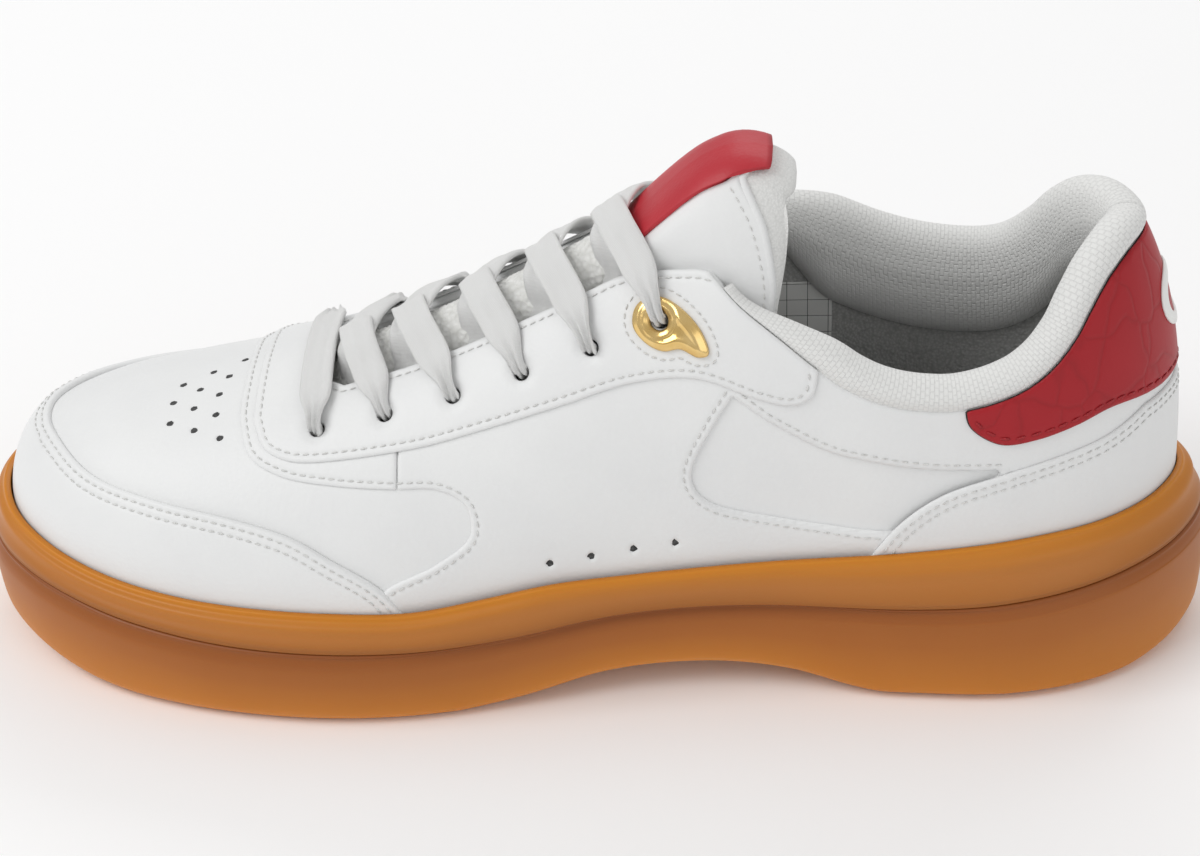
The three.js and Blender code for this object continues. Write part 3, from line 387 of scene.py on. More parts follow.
TAB = [[90.6, 80], [91.6, 75], [95.2, 71.4], [100, 69.2], [108.2, 69.7], [116.5, 71.6], [124.8, 73.8],
       [132.4, 73.2], [138, 72.4]]
FRONT = -66.0  # toe end of the throat
SLOT_SIDE = [[3, THROAT_HALF], [9, THROAT_HALF], [14.6, 15.1], [19.6, 16.4], [24, 17.7], [28.9, 19.2],
             [32.2, 20.5], [36, 22.2]]
SLOT = [[44, -23], [[x, -y] for x, y in SLOT_SIDE[::-1]],
        [[FRONT + THROAT_HALF * a, THROAT_HALF * b]
         for a, b in ((0.6, -1), (0.12, -0.62), (0, 0), (0.12, 0.62), (0.6, 1))],
        SLOT_SIDE, [44, 23]]

FAR = 50.0  # what a field says where it has nothing to measure
f_throat = plan_field(SLOT)
mouth = {s: [[29.0, 240.0]] + [[x, float(topline[s](x))] for x in np.linspace(29, 165, 60)] + [[165.0, 240.0]]
         for s in (-1, 1)}
f_mouth = np.where(Y < 0, side_field(mouth[-1]), side_field(mouth[1]))
f_eyestay = side_field([EYESTAY, [56.5, 220], [-80, 220]])
f_cover = side_field([QUARTER_FRONT, [-53, 5], [190, 5], [190, 220], [-84, 220]])
f_window = side_field([WINDOW_EDGE, WINDOW_TOP])
f_mud = side_field([MUDGUARD, [-42, 0], [-190, 0], [-190, 56.6]])
f_fox = side_field([FOXING, [190, 70.6], [190, 0], [62, 0]])
f_tab = side_field([TAB, [190, 72], [190, 200], [90.6, 200]])


def around(centres, radius):
    """Field that is negative inside round holes at centres."""
    f = np.full(len(X), FAR)
    for c in centres:
        f = np.minimum(f, np.linalg.norm(P - c, axis=1) - radius)
    return f


EYELET_X = [FIRST_EYELET + EYELET_PITCH * k for k in range(EYELETS)]
eyelet_p = {(k, s): on_crown(EYELET_X[k], s * EYELET_ROW, 0.0) for k in range(EYELETS) for s in (-1, 1)}
f_holes = around([c for c, _ in eyelet_p.values()], HOLE)
VENT, PUNCH = 0.85, 0.52  # half diagonal and radius
f_vents = np.full(len(X), FAR)
for k in range(4):
    f_vents = np.minimum(f_vents, (np.abs(X + 7.9 - 10 * k) + np.abs(Z - 39.6 - 1.25 * k) - VENT) / 1.41)
punches = []
for row in range(3):
    for i in range(3 + row):
        across = (i - (2 + row) / 2) * 7.1
        punches.append(on_crown(-102.2 + 5.8 * row + 0.016 * across ** 2 + 0.1 * across, across - 6, 0.0)[0])
f_punch = around(punches, PUNCH)


# ---- materials: each has its own colour variation, roughness and bump -----------------------
def material(name, color, rough, build=None, **sockets):
    m = bpy.data.materials.new(name)
    m.use_nodes = True
    t = m.node_tree
    s = t.nodes["Principled BSDF"]
    s.inputs["Base Color"].default_value = (*color, 1)
    s.inputs["Roughness"].default_value = rough
    for k, v in sockets.items():
        s.inputs[k.replace("_", " ")].default_value = v
    if build:
        build(t, s)
    return m


def node(t, kind, *links, **values):
    """A shader node: links go into its first inputs, values set its properties or other inputs."""
    n = t.nodes.new("ShaderNode" + kind)
    for k, v in values.items():
        if k in n.bl_rna.properties and k not in n.inputs:
            setattr(n, k, v)
        else:
            n.inputs[k.replace("_", " ")].default_value = v
    for k, link in enumerate(links):
        if link is not None:
            t.links.new(link, n.inputs[k])
    return n


def coords(t, scale=(1, 1, 1), uv=False):
    place = node(t, "TexCoord").outputs["UV" if uv else "Object"]
    return node(t, "Mapping", place, Scale=scale).outputs["Vector"]


def noise(t, v, scale, detail=2.0, **more):
    return node(t, "TexNoise", v, Scale=scale, Detail=detail, **more).outputs["Fac"]


def ramp(t, value, stops, into=None):
    """Colour ramp; a stop's colour is a triple, or one number for a grey."""
    r = node(t, "ValToRGB", value)
    e = r.color_ramp.elements
    while len(e) < len(stops):
        e.new(0.5)
    for k, (at, c) in enumerate(stops):
        e[k].position = at
        e[k].color = (*(c if isinstance(c, tuple) else (c,) * 3), 1)
    if into:
        t.links.new(r.outputs["Color"], into)
    return r.outputs["Color"]


def bumps(t, s, *layers):
    """Bump layers (height, strength, distance), each on top of the one before."""
    normal = None
    for height, strength, distance in layers:
        b = node(t, "Bump", Strength=strength, Distance=distance)
        t.links.new(height, b.inputs["Height"])
        if normal:
            t.links.new(normal, b.inputs["Normal"])
        normal = b.outputs["Normal"]
    t.links.new(normal, s.inputs["Normal"])


def grain(tone, tone2, strength=0.35, scale=900.0):
    """Leather: fine pebble grain, faint pores and slow colour and gloss variation."""
    def build(t, s):
        v = coords(t)
        big = noise(t, v, 28.0, 4.0, Roughness=0.6)
        ramp(t, big, [(0.3, tone), (0.7, tone2)], s.inputs["Base Color"])
        ramp(t, big, [(0.3, 0.40), (0.7, 0.52)], s.inputs["Roughness"])
        cell = node(t, "TexVoronoi", v, Scale=scale, feature="F1").outputs["Distance"]
        bumps(t, s, (cell, strength, 0.00012), (noise(t, v, scale * 1.6, 3.0), strength * 0.6, 0.00006),
              (noise(t, v, 95.0), 0.25, 0.0003))
    return build


def knit(t, s):
    """Ribbed knit: columns of small stitches along the piece's own coordinates."""
    across, along = 0.0012, 0.0021
    part = node(t, "SeparateXYZ", coords(t, (1 / across, 1 / along, 1), uv=True))
    turn = node(t, "CombineXYZ", part.outputs["Y"], part.outputs["X"])
    brick = node(t, "TexBrick", turn.outputs[0], Scale=1.0, Mortar_Size=0.16, Mortar_Smooth=1.0,
                 Brick_Width=1.0, Row_Height=1.0, Color1=(1, 1, 1, 1), Color2=(0.85, 0.85, 0.85, 1),
                 Mortar=(0, 0, 0, 1))
    color = brick.outputs["Color"]
    ramp(t, color, [(0.0, (0.71, 0.71, 0.695)), (0.7, (0.77, 0.77, 0.755))], s.inputs["Base Color"])
    bumps(t, s, (color, 0.55, 0.00022), (noise(t, coords(t), 1500.0, 4.0), 0.4, 0.0002))


def woven(tone, tone2, scale=(1400.0, 420.0)):
    """Flat woven lace: fine lengthwise yarns crossed by picks."""
    def build(t, s):
        v = coords(t, (*scale, 1), uv=True)
        yarns = [node(t, "TexWave", v, Scale=1.0, Distortion=0.5, Detail=1.0, bands_direction=d)
                 for d in "XY"]
        weave = node(t, "Math", *(y.outputs["Fac"] for y in yarns), operation="MULTIPLY").outputs[0]
        ramp(t, weave, [(0.0, tone2), (0.6, tone)], s.inputs["Base Color"])
        bumps(t, s, (weave, 0.7, 0.0002), (noise(t, coords(t), 260.0, 3.0), 0.5, 0.0006))
    return build


def gum(stops):
    """Gum rubber: colour by height in the tier as painted light (painted shade towards the groove, a painted
    glow of light through the thin edges), cloudy depth, fine satin texture and specks.
    """
    def build(t, s):
        v = coords(t)
        cloud = noise(t, v, 24.0, 3.0)
        spread = node(t, "Math", cloud, operation="MULTIPLY_ADD")
        spread.inputs[1].default_value, spread.inputs[2].default_value = 0.10, -0.05
        # the band paints light: dark near the groove as painted shade, bright at the thin edges as painted
        # glow
        level = node(t, "Attribute", attribute_name="painted_light_band").outputs["Fac"]
        tone = node(t, "Math", level, spread.outputs[0], operation="ADD").outputs[0]
        ramp(t, tone, stops, s.inputs["Base Color"])
        ramp(t, cloud, [(0.3, 0.36), (0.7, 0.5)], s.inputs["Roughness"])
        bumps(t, s, (noise(t, v, 2200.0), 0.22, 0.0001))
    return build


def fabric(tone, tone2, scale=1300.0, depth=0.0003):
    """Plain cloth, felt, foam or thread: small cells under a soft fuzz."""
    def build(t, s):
        v = coords(t)
        cell = node(t, "TexVoronoi", v, Scale=scale).outputs["Distance"]
        ramp(t, cell, [(0.1, tone), (0.8, tone2)], s.inputs["Base Color"])
        bumps(t, s, (cell, 0.7, depth), (noise(t, v, scale * 0.4, 5.0), 0.5, depth))
    return build


def croc(t, s):
    """Red leather embossed with large scales, their crowns painted a lighter red as a faint painted shine."""
    v = coords(t, (1.3, 1.3, 0.8))
    warp = node(t, "TexNoise", v, Scale=60.0, Detail=2.0)
    mix = node(t, "MixRGB", None, v, warp.outputs["Color"], Fac=0.012)
    cell = node(t, "TexVoronoi", mix.outputs[0], Scale=72.0, Randomness=0.6, feature="DISTANCE_TO_EDGE")
    cell = cell.outputs["Distance"]
    ramp(t, cell, [(0.0, (0.32, 0.007, 0.012)), (0.05, (0.36, 0.008, 0.014)), (0.6, (0.385, 0.009, 0.016))],
         s.inputs["Base Color"])
    bumps(t, s, (ramp(t, cell, [(0.0, 0), (0.07, 1)]), 0.26, 0.0003), (noise(t, v, 900.0, 3.0), 0.2, 0.0001))


def polished(t, s):
    """Gold-coloured metal with faint handling marks."""
    big = noise(t, coords(t), 180.0, 4.0)
    ramp(t, big, [(0.3, (0.78, 0.52, 0.18)), (0.7, (0.90, 0.66, 0.30))], s.inputs["Base Color"])
    ramp(t, big, [(0.3, 0.16), (0.7, 0.28)], s.inputs["Roughness"])
    bumps(t, s, (big, 0.15, 0.0002))


def printed(t, s):
    """Woven tape with a printed grid: no lettering."""
    v = coords(t, (1000, 1000, 1), uv=True)
    brick = node(t, "TexBrick", v, Scale=1.0, offset=0.0, Mortar_Size=0.08, Brick_Width=5.2, Row_Height=5.0,
                 Color1=(0.82, 0.82, 0.80, 1), Color2=(0.79, 0.79, 0.77, 1), Mortar=(0.04, 0.04, 0.04, 1))
    t.links.new(brick.outputs["Color"], s.inputs["Base Color"])
    bumps(t, s, (noise(t, v, 2.0), 0.3, 0.0001))


WHITE, WHITE2 = (0.76, 0.765, 0.765), (0.80, 0.805, 0.80)
SPEC = "Specular_IOR_Level"
RUBBER = {SPEC: 0.35, "Subsurface_Weight": 0.06, "Subsurface_Scale": 0.004}
leather = material("white_leather", WHITE2, 0.46, grain(WHITE, WHITE2), **{SPEC: 0.4})
binding = material("white_binding", WHITE2, 0.6, grain(WHITE, WHITE2, 0.5, 1300.0), **{SPEC: 0.35})
red = material("red_leather", (0.37, 0.008, 0.015), 0.42, croc, **{SPEC: 0.32})
red_smooth = material("red_label", (0.45, 0.02, 0.03), 0.4,
                      grain((0.43, 0.016, 0.028), (0.50, 0.026, 0.038), 0.3, 1100.0), **{SPEC: 0.45})
dark_edge = material("tab_edge", (0.03, 0.02, 0.02), 0.8, fabric((0.05, 0.03, 0.03), (0.02, 0.01, 0.01)))
collar_mat = material("collar_knit", (0.74, 0.74, 0.71), 0.95, knit, Sheen_Weight=0.25)
velour = material("tongue_velour", (0.75, 0.75, 0.735), 0.97,
                  fabric((0.78, 0.78, 0.765), (0.70, 0.70, 0.685), 1700.0, 0.0002), Sheen_Weight=0.3)
lining_mat = material("lining_mesh", (0.42, 0.42, 0.41), 0.97, fabric((0.52, 0.52, 0.51), (0.38, 0.38, 0.37)))
tongue_mat = material("tongue_mesh", (0.74, 0.74, 0.72), 0.98,
                      fabric((0.86, 0.86, 0.84), (0.74, 0.74, 0.71), 700.0, 0.0007), Sheen_Weight=0.3)
lace_mat = material("lace_cotton", (0.84, 0.84, 0.82), 0.95,
                    woven((0.85, 0.85, 0.84), (0.77, 0.77, 0.76), (1500.0, 900.0)), Sheen_Weight=0.2)
thread = material("white_thread", (0.80, 0.80, 0.79), 0.6,
                  fabric((0.82, 0.82, 0.8), (0.66, 0.66, 0.64), 3000.0))
red_thread = material("red_thread", (0.50, 0.02, 0.03), 0.6,
                      fabric((0.46, 0.015, 0.022), (0.30, 0.008, 0.014), 3000.0))
# painted shadow: the dark floor seen through the punched holes and the vents
hole_mat = material("punch_shadow", (0.10, 0.10, 0.10), 0.95, fabric((0.09, 0.09, 0.09), (0.04, 0.04, 0.04)))
# both gum ramps paint light by height: dark brown at the groove between the tiers is painted shade, and
# bright amber at the thin bottom edge is a painted glow of light through the rubber; the lower tier's browner
# middle is painted shade too
gum_top = material("gum_rubber", (0.55, 0.22, 0.03), 0.42, gum(
    [(0.0, (0.29, 0.092, 0.014)), (0.16, (0.35, 0.118, 0.018)), (0.50, (0.46, 0.165, 0.030)),
     (0.80, (0.51, 0.180, 0.018)), (0.93, (0.58, 0.205, 0.010)), (1.0, (0.50, 0.165, 0.006))]), **RUBBER)
gum_low = material("gum_rubber_dark", (0.38, 0.14, 0.02), 0.45, gum(
    [(0.0, (0.74, 0.27, 0.022)), (0.16, (0.70, 0.25, 0.020)), (0.34, (0.54, 0.185, 0.018)),
     (0.55, (0.40, 0.125, 0.016)), (0.80, (0.31, 0.090, 0.014)), (1.0, (0.25, 0.070, 0.012))]), **RUBBER)
gold = material("gold_metal", (0.86, 0.60, 0.24), 0.2, polished, Metallic=1.0)
felt = material("stiffener_felt", (0.62, 0.55, 0.42), 0.95, fabric((0.64, 0.57, 0.44), (0.5, 0.44, 0.33)))
board_mat = material("insole_board", (0.7, 0.66, 0.56), 0.9, fabric((0.72, 0.68, 0.58), (0.6, 0.56, 0.46)))
foam = material("core_foam", (0.7, 0.66, 0.56), 0.9, fabric((0.75, 0.71, 0.61), (0.6, 0.56, 0.47)))
insole_mat = material("sockliner", (0.17, 0.17, 0.17), 0.97, fabric((0.21, 0.21, 0.21), (0.13, 0.13, 0.13)))
aglet_mat = material("aglet_film", (0.82, 0.82, 0.80), 0.3, woven((0.84, 0.84, 0.82), (0.74, 0.74, 0.72)),
                     Coat_Weight=0.6)
label_mat = material("label_print", (0.55, 0.55, 0.54), 0.85, printed)
emblem_mat = material("emblem_leather", (0.82, 0.82, 0.80), 0.5,
                      grain((0.80, 0.80, 0.78), (0.86, 0.86, 0.84)))

for inner, finish in (("toe_puff", felt), ("heel_counter", felt), ("strobel_board", board_mat),
                      ("cushion_core", foam), ("lateral_aglet", aglet_mat), ("medial_aglet", aglet_mat)):
    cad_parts[inner].data.materials.clear()
    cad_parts[inner].data.materials.append(finish)


# ---- leather panels -------------------------------------------------------------------------
def seam(field, *ats):
    """Furrows pulled in by rows of stitches at distances from an edge."""
    return sum(-0.2 * np.exp(-((field - at) / 0.5) ** 2) for at in ats)


def thick_shell(outer, inner, shell):
    """Points and faces of a closed sheet: outer, inner and the walls between their borders."""
    border = {}
    for f in shell:
        for edge in zip(f, f[1:] + f[:1]):
            if edge[::-1] in border:
                del border[edge[::-1]]
            else:
                border[edge] = True
    n = len(outer)
    back = [[v + n for v in reversed(f)] for f in shell]
    return np.vstack([outer, inner]), shell + back + [[b, a, a + n, b + n] for a, b in border if a != b]


def turned(faces):
    return [list(reversed(f)) for f in faces]


def mixer(order):
    """Function that gives a grid value at the points where trimmed() cut the grid."""
    o = np.array([(a, b) for a, b, _ in order])
    s = np.array([c for _, _, c in order])

    def mix(v):
        q = s[:, None] if v.ndim > 1 else s
        return v[o[:, 0]] * (1 - q) + v[o[:, 1]] * q

    return mix


EDGE_WIDTH, EDGE_ROLL = 0.9, 0.55  # how far in a leather edge is rounded, and by what share of it


def panel(name, stands_for, keep, top, bottom, mat=leather, slot="white_leather", sink=0.0, region=None):
    """Closed leather sheet: the grid trimmed at keep = 0, top and bottom distances from the last."""
    faces = GRID if region is None else GRID[region[GRID].any(1)]
    whole, cut, order = trimmed(keep, faces)
    top = np.broadcast_to(top, len(X)) + sink
    bottom = np.broadcast_to(bottom, len(X)) + 0.0
    edge = np.clip(keep / EDGE_WIDTH, 0, 1)
    drop = (top - bottom) * EDGE_ROLL * (1 - np.sqrt(1 - (1 - edge) ** 2))
    outer = P + N * (top - drop)[:, None]
    inner = P + N * bottom[:, None]
    if order:
        mix = mixer(order)
        n, at, low_at = unit(mix(N)), mix(top), mix(bottom)
        outer = np.vstack([outer, mix(P) + n * (at - (at - low_at) * EDGE_ROLL)[:, None]])
        inner = np.vstack([inner, mix(P) + n * low_at[:, None]])
    # the grid runs clockwise seen from outside, so all faces are turned together
    points, faces = thick_shell(outer, inner, whole.tolist() + cut)
    o = make(name, points, turned(faces), mat, slot=slot)
    if stands_for:
        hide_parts(stands_for)
    return o


def stitch_rows(name, rows, mat=thread, pitch=2.4, long=1.7, wide=0.40, body="shoe"):
    """Thread stitches lying along polylines: one mesh of small rounded capsules."""
    high, sides, prof = 0.30, 6, [(-0.5, 0.18), (-0.36, 0.8), (0, 1.0), (0.36, 0.8), (0.5, 0.18)]
    pts, faces = [], []
    for line, normals in rows:
        s = np.concatenate([[0], np.cumsum(np.linalg.norm(np.diff(line, axis=0), axis=1))])
        at = lambda a, v: np.array([np.interp(a, s, v[:, c]) for c in range(3)])
        count = int(s[-1] / pitch)
        for k in range(count):
            a = (k + 0.5) * s[-1] / count
            p, n = at(a, line), unit(at(a, normals))
            along = unit(at(min(a + 0.6, s[-1]), line) - at(max(a - 0.6, 0), line))
            along = unit(along + unit(np.cross(n, along)) * 0.12)
            side = unit(np.cross(n, along))
            base = len(pts)
            for e, w in prof:
                lift = high * (0.9 - 2.6 * e * e)
                for m in range(sides):
                    g = 2 * math.pi * m / sides
                    pts.append(p + along * e * long + side * math.cos(g) * wide / 2 * w
                               + n * (math.sin(g) * high / 2 * w + lift - high * 0.25))
            faces += (base + grid_faces(len(prof), sides, wrap=True)).tolist()
            faces.append([base + m for m in reversed(range(sides))])
            faces.append([base + (len(prof) - 1) * sides + m for m in range(sides)])
    return make(name, pts, faces, mat, body=body, slot="white_thread")


def rows_at(field, ats, height, keep):
    """Polylines at distances inside a panel's edge, lifted to its surface, where keep > 0."""
    out = []
    for at in ats:
        for line in contour(field - at, GRID, np.hstack([P, N, keep[:, None]])):
            ok = np.concatenate([[0], line[:, 6] > 0, [0]])
            turns = np.flatnonzero(np.diff(ok))
            for k, e in zip(turns[::2], turns[1::2]):
                if e - k > 5:
                    n = unit(line[k:e, 3:6])
                    out.append((line[k:e, :3] + n * height, n))
    return out


LAP = 0.02  # gap between a sheet and the one it lies on
BASE_TOP, COVER_TOP, OVER_TOP = -0.85, 0.0, 0.95  # outer faces of the three leather layers
LAYER_UNDER, COVER_UNDER = -2.3, -1.25
MUD_ROWS, FOX_ROWS = (1.8, 3.8), (1.6, 3.6)  # distances of the stitch rows from their edges
COVER_ROW, EYESTAY_ROW, THROAT_ROW, WINDOW_ROW, TAB_ROW = 1.6, 1.9, 2.0, 1.8, 1.8
keep_eyestay = np.minimum.reduce([f_eyestay, -f_throat, -f_mouth, f_holes])
keep_strip = np.minimum.reduce([f_cover, -f_throat, f_holes, SEAM_X - 0.1 - X, Z - 56])
behind_seam = np.maximum(X - SEAM_X - 0.1, np.minimum(55 - Z, X + 60))
keep_quarter = np.minimum.reduce([f_cover, -f_throat, -f_mouth, f_holes, behind_seam, -f_window, f_vents])
f_vamp = side_field([[-190, 0], [-20, 0], [-20, 50], [-34, 90], [-34, 220], [-190, 220]])
keep_vamp = np.minimum.reduce([f_vamp, -f_throat, f_holes, f_punch])
keep_panel = side_field([[[38, 88], [26, 78], [20, 62], [22, 51], [40, 43], [80, 39], [106, 48], [108, 62],
                          [88, 69], [66, 72], [50, 82], [38, 88]]])
dimple = -0.5 * np.exp(-(f_holes / 1.6) ** 2)
throat_wall = smooth(-f_throat, 3.0, 2.0) * (X > -64)  # the cover's edge is deeper at the throat

panel("vamp_leather", "vamp", keep_vamp, BASE_TOP, LAYER_UNDER)
panel("toe_mudguard_leather", "toe_mudguard", f_mud, OVER_TOP, BASE_TOP + LAP, sink=seam(f_mud, *MUD_ROWS))
panel("throat_strip_leather", "throat_strip", keep_strip, COVER_TOP, BASE_TOP + LAP - 3.0 * throat_wall,
      sink=seam(f_cover, COVER_ROW) + dimple)
quarter_sink = seam(f_cover, COVER_ROW) + seam(-f_window, WINDOW_ROW) + dimple
for side, hand in HANDS:
    panel(hand + "_quarter_leather", hand + "_quarter", np.minimum(keep_quarter, side * Y - 0.15), COVER_TOP,
          COVER_UNDER - 2.6 * throat_wall, sink=quarter_sink, region=side * Y > -3)
for side, hand in HANDS:
    panel(hand + "_side_panel_leather", hand + "_side_panel", np.minimum(keep_panel, side * Y - 0.15), -1.1,
          LAYER_UNDER, region=side * Y > -3)
panel("eyestay_leather", "eyestay", keep_eyestay, OVER_TOP, COVER_TOP + LAP,
      sink=seam(f_eyestay, EYESTAY_ROW) + seam(-f_throat, THROAT_ROW) + dimple)
panel("heel_foxing_leather", "heel_foxing", f_fox, OVER_TOP, COVER_TOP + LAP, sink=seam(f_fox, *FOX_ROWS))
panel("heel_tab_leather", "heel_tab", np.minimum(f_tab, -f_mouth), OVER_TOP + 0.15, COVER_TOP + 0.5, red,
      "red_leather", sink=seam(f_tab, TAB_ROW))
panel("heel_tab_edge", "", np.minimum(f_tab + 0.35, -f_mouth), COVER_TOP + 0.48, COVER_TOP + LAP, dark_edge,
      "red_leather")
# dark sheets under the punched holes and the vents: painted shadow in the holes, over the lighter lining
# below
panel("punch_painted_shadow", "", 1.6 - f_punch, -1.05, -1.5, hole_mat, "lining_mesh")
panel("vent_painted_shadow", "", 1.2 - f_vents, -0.35, -0.8, hole_mat, "lining_mesh")

# linings: vamp and quarter, seen from inside, and the label sewn to them
liner = np.minimum.reduce([-f_throat, -f_mouth, f_holes])
for part, where in (("vamp_lining", -49 - X), ("quarter_lining", X + 49)):
    panel(part + "_mesh", part, np.minimum(liner, where), LINING_OUT, LINING_IN, lining_mat, "lining_mesh")
tape = side_field([[44, 57], [60.4, 57], [60.4, 78], [44, 78]])
label = panel("size_label_tape", "size_label", np.minimum(tape, Y - 5), LINING_IN - 0.05, LINING_IN - 0.55,
              label_mat, "label_print", region=(Y > 3) & (tape > -4))
layer = label.data.uv_layers.new(name="along")
co = np.array([v.co for v in label.data.vertices]) * 1000
loops = np.zeros(len(label.data.loops), int)
label.data.loops.foreach_get("vertex_index", loops)
layer.data.foreach_set("uv", ((co[:, [0, 2]] - co[:, [0, 2]].min(0)) / 1000)[loops].ravel())

# ---- stitching --------------------------------------------------------------------------------
SUNK = 0.12  # how deep the thread lies in its furrow
above_rim = Z - rim_z(X) + 0.8
visible = np.minimum.reduce([-f_throat - 0.5, -f_mouth - 0.5, above_rim])
stitch_rows("toe_mudguard_stitches", rows_at(f_mud, MUD_ROWS, OVER_TOP - SUNK, above_rim))
at_throat = np.minimum.reduce([f_eyestay, -f_mouth - 0.5, f_holes - 2.2])
stitch_rows("eyestay_stitches", rows_at(f_eyestay, [EYESTAY_ROW], OVER_TOP - SUNK, visible)
            + rows_at(-f_throat, [THROAT_ROW], OVER_TOP - SUNK, at_throat))
uncovered = np.minimum.reduce([-f_eyestay - 0.3, -f_mud - 0.3, -f_fox - 0.3, visible])
stitch_rows("quarter_stitches", rows_at(f_cover, [COVER_ROW], COVER_TOP - SUNK, uncovered)
            + rows_at(-f_window, [WINDOW_ROW], COVER_TOP - SUNK, np.minimum(uncovered, 100 - X)))
stitch_rows("heel_foxing_stitches", rows_at(f_fox, FOX_ROWS, OVER_TOP - SUNK, above_rim))
stitch_rows("heel_tab_stitches", rows_at(f_tab, [TAB_ROW], OVER_TOP + 0.05, -f_mouth - 1.5), red_thread,
            pitch=3.2, long=2.6, wide=0.75)


# ---- sole -------------------------------------------------------------------------------------
groove_z = through([[-155, 28], [-130, 26.2], [-111, 24], [-81, 21.8], [-44, 21.5], [-20, 22.6], [4, 25.6],
                    [28, 27], [64, 27.5], [88, 28], [112, 30], [131, 31.8], [155, 33]])
ground_line = through([[-155, 7], [-140, 3.5], [-125, 0.9], [-113, 0], [-108, 0], [-36, 0], [-31, 0],
                       [-15, 2], [5, 6], [30, 7], [50, 5], [64, 1.4], [72, 0], [77, 0], [128, 0], [133, 0],
                       [145, 1.5], [155, 3.5]])
groove_out = through([[-155, 6], [-110, 6.5], [-60, 7], [-20, 6], [10, 4.2], [40, 4.2], [80, 7.5], [110, 9],
                      [155, 7]])
bulge_out = through([[-155, 7.5], [-100, 8.5], [-60, 8.5], [-25, 6.5], [10, 3.6], [40, 3.8], [80, 8.5],
                     [110, 11], [155, 9]])
CAVITY_OUT = FIT + LEATHER + FIT


def ground_z(x):
    return np.maximum(ground_line(x), 0)


def board_top(x):
    return rim_z(x) - UPPER_DROP - FIT


AROUND = 640


def plus(f, d):
    return lambda x: f(x) + d


def between(f, g, w):
    return lambda x: f(x) * (1 - w) + g(x) * w


def lofted(rings, painted_light_bands, steps):
    """Smooth surface through rings: a spline from ring to ring, and its painted light band row by row."""
    r = np.array([ring(out, z, AROUND) for out, z in rings])
    last_ring = len(r) - 1
    rows, tone = [], []
    for k in range(last_ring * steps + 1):
        i = min(k // steps, last_ring - 1)
        q = k / steps - i
        p0, p1, p2, p3 = (r[min(max(m, 0), last_ring)] for m in (i - 1, i, i + 1, i + 2))
        m1, m2 = (p2 - p0) / 2, (p3 - p1) / 2
        rows.append(p1 + m1 * q + (3 * (p2 - p1) - 2 * m1 - m2) * q * q + (2 * (p1 - p2) + m1 + m2) * q ** 3)
        tone.append(painted_light_bands[i] + (painted_light_bands[i + 1] - painted_light_bands[i]) * q)
    return np.array(rows), np.repeat(tone, AROUND)


def lid(edge, z_of, across, base, start):
    """Grid that fills a ring whose points are numbered from base; z_of(x, y, inset) is its height."""
    half = AROUND // 2
    inner, other = edge[1:half], edge[::-1][:half - 1]
    b = np.linspace(0, 1, across + 1)[1:-1]
    pts = inner[:, None, :] * (1 - b[None, :, None]) + other[:, None, :] * b[None, :, None]
    span = np.linalg.norm(other - inner, axis=1)[:, None] * np.minimum(b, 1 - b)[None, :]
    ends = np.minimum(np.arange(1, half), half - np.arange(1, half))[:, None] * 0.9
    pts[..., 2] = z_of(pts[..., 0], pts[..., 1], np.minimum(span, ends))
    n = across - 1
    rows = [[base + j + 1, *range(start + j * n, start + j * n + n), base + AROUND - 1 - j]
            for j in range(half - 1)]
    faces = [[base, b, a] for a, b in zip(rows[0], rows[0][1:])]
    for row, nxt in zip(rows, rows[1:]):
        faces += [[row[k], row[k + 1], nxt[k + 1], nxt[k]] for k in range(across)]
    faces += [[base + half, a, b] for a, b in zip(rows[-1], rows[-1][1:])]
    return pts.reshape(-1, 3), faces


def outward(pts, faces):
    """Faces of a closed body, turned to face out of it."""
    tri = np.array([(f[0], f[k], f[k + 1]) for f in faces for k in range(1, len(f) - 1)])
    volume = (pts[tri[:, 0]] * np.cross(pts[tri[:, 1]], pts[tri[:, 2]])).sum()
    return turned(faces) if volume < 0 else faces


def closed_loft(name, stands_for, rings, painted_light_bands, steps, mat, slot, bottom=None, top=None, across=40):
    """Closed body from rings, with a gridded lid on the first and the last of them."""
    rows, tone = lofted(rings, painted_light_bands, steps)
    pts = rows.reshape(-1, 3)
    faces = grid_faces(len(rows), AROUND, wrap=True).tolist()
    tone = list(tone)
    for at, z_of in ((0, bottom), (-1, top)):
        run = rows[at][:AROUND // 2 + 1]
        level = z_of or (lambda x, y, inset: np.interp(x, run[:, 0], run[:, 2]))
        extra, caps = lid(rows[at], level, across, 0 if at == 0 else (len(rows) - 1) * AROUND, len(pts))
        faces += caps if at == 0 else turned(caps)
        pts = np.vstack([pts, extra])
        tone += [painted_light_bands[at]] * len(extra)
    o = make(name, pts, outward(pts, faces), mat, slot=slot, painted_light_band=tone)
    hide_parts(stands_for)


cup_mid = plus(lambda x: (CAVITY_OUT + 1.6 + groove_out(x)) / 2, 0.5)
# bands: 1 at the rim's lip down to 0 at the groove, where the ramp darkens the gum as painted shade
closed_loft("cupsole_rim", "midsole_cup", [
    (CAVITY_OUT, plus(board_top, -1.8)), (CAVITY_OUT, plus(rim_z, -0.8)), (1.15, plus(rim_z, -0.2)),
    (CAVITY_OUT + 0.5, rim_z), (CAVITY_OUT + 1.2, plus(rim_z, -0.25)), (CAVITY_OUT + 1.7, plus(rim_z, -1.2)),
    (lambda x: cup_mid(x) * 0.75 + 0.8, between(rim_z, groove_z, 0.25)),
    (cup_mid, between(rim_z, groove_z, 0.5)), (groove_out, plus(groove_z, 2.2)),
    (plus(groove_out, 0.1), plus(groove_z, 0.9)),
    (plus(groove_out, -0.2), plus(groove_z, 0.15)), (plus(groove_out, -4.5), plus(groove_z, 0.1))],
    [0.95, 0.98, 1.0, 0.98, 0.93, 0.86, 0.74, 0.52, 0.30, 0.14, 0.03, 0.0], 4, gum_top, "gum_rubber")


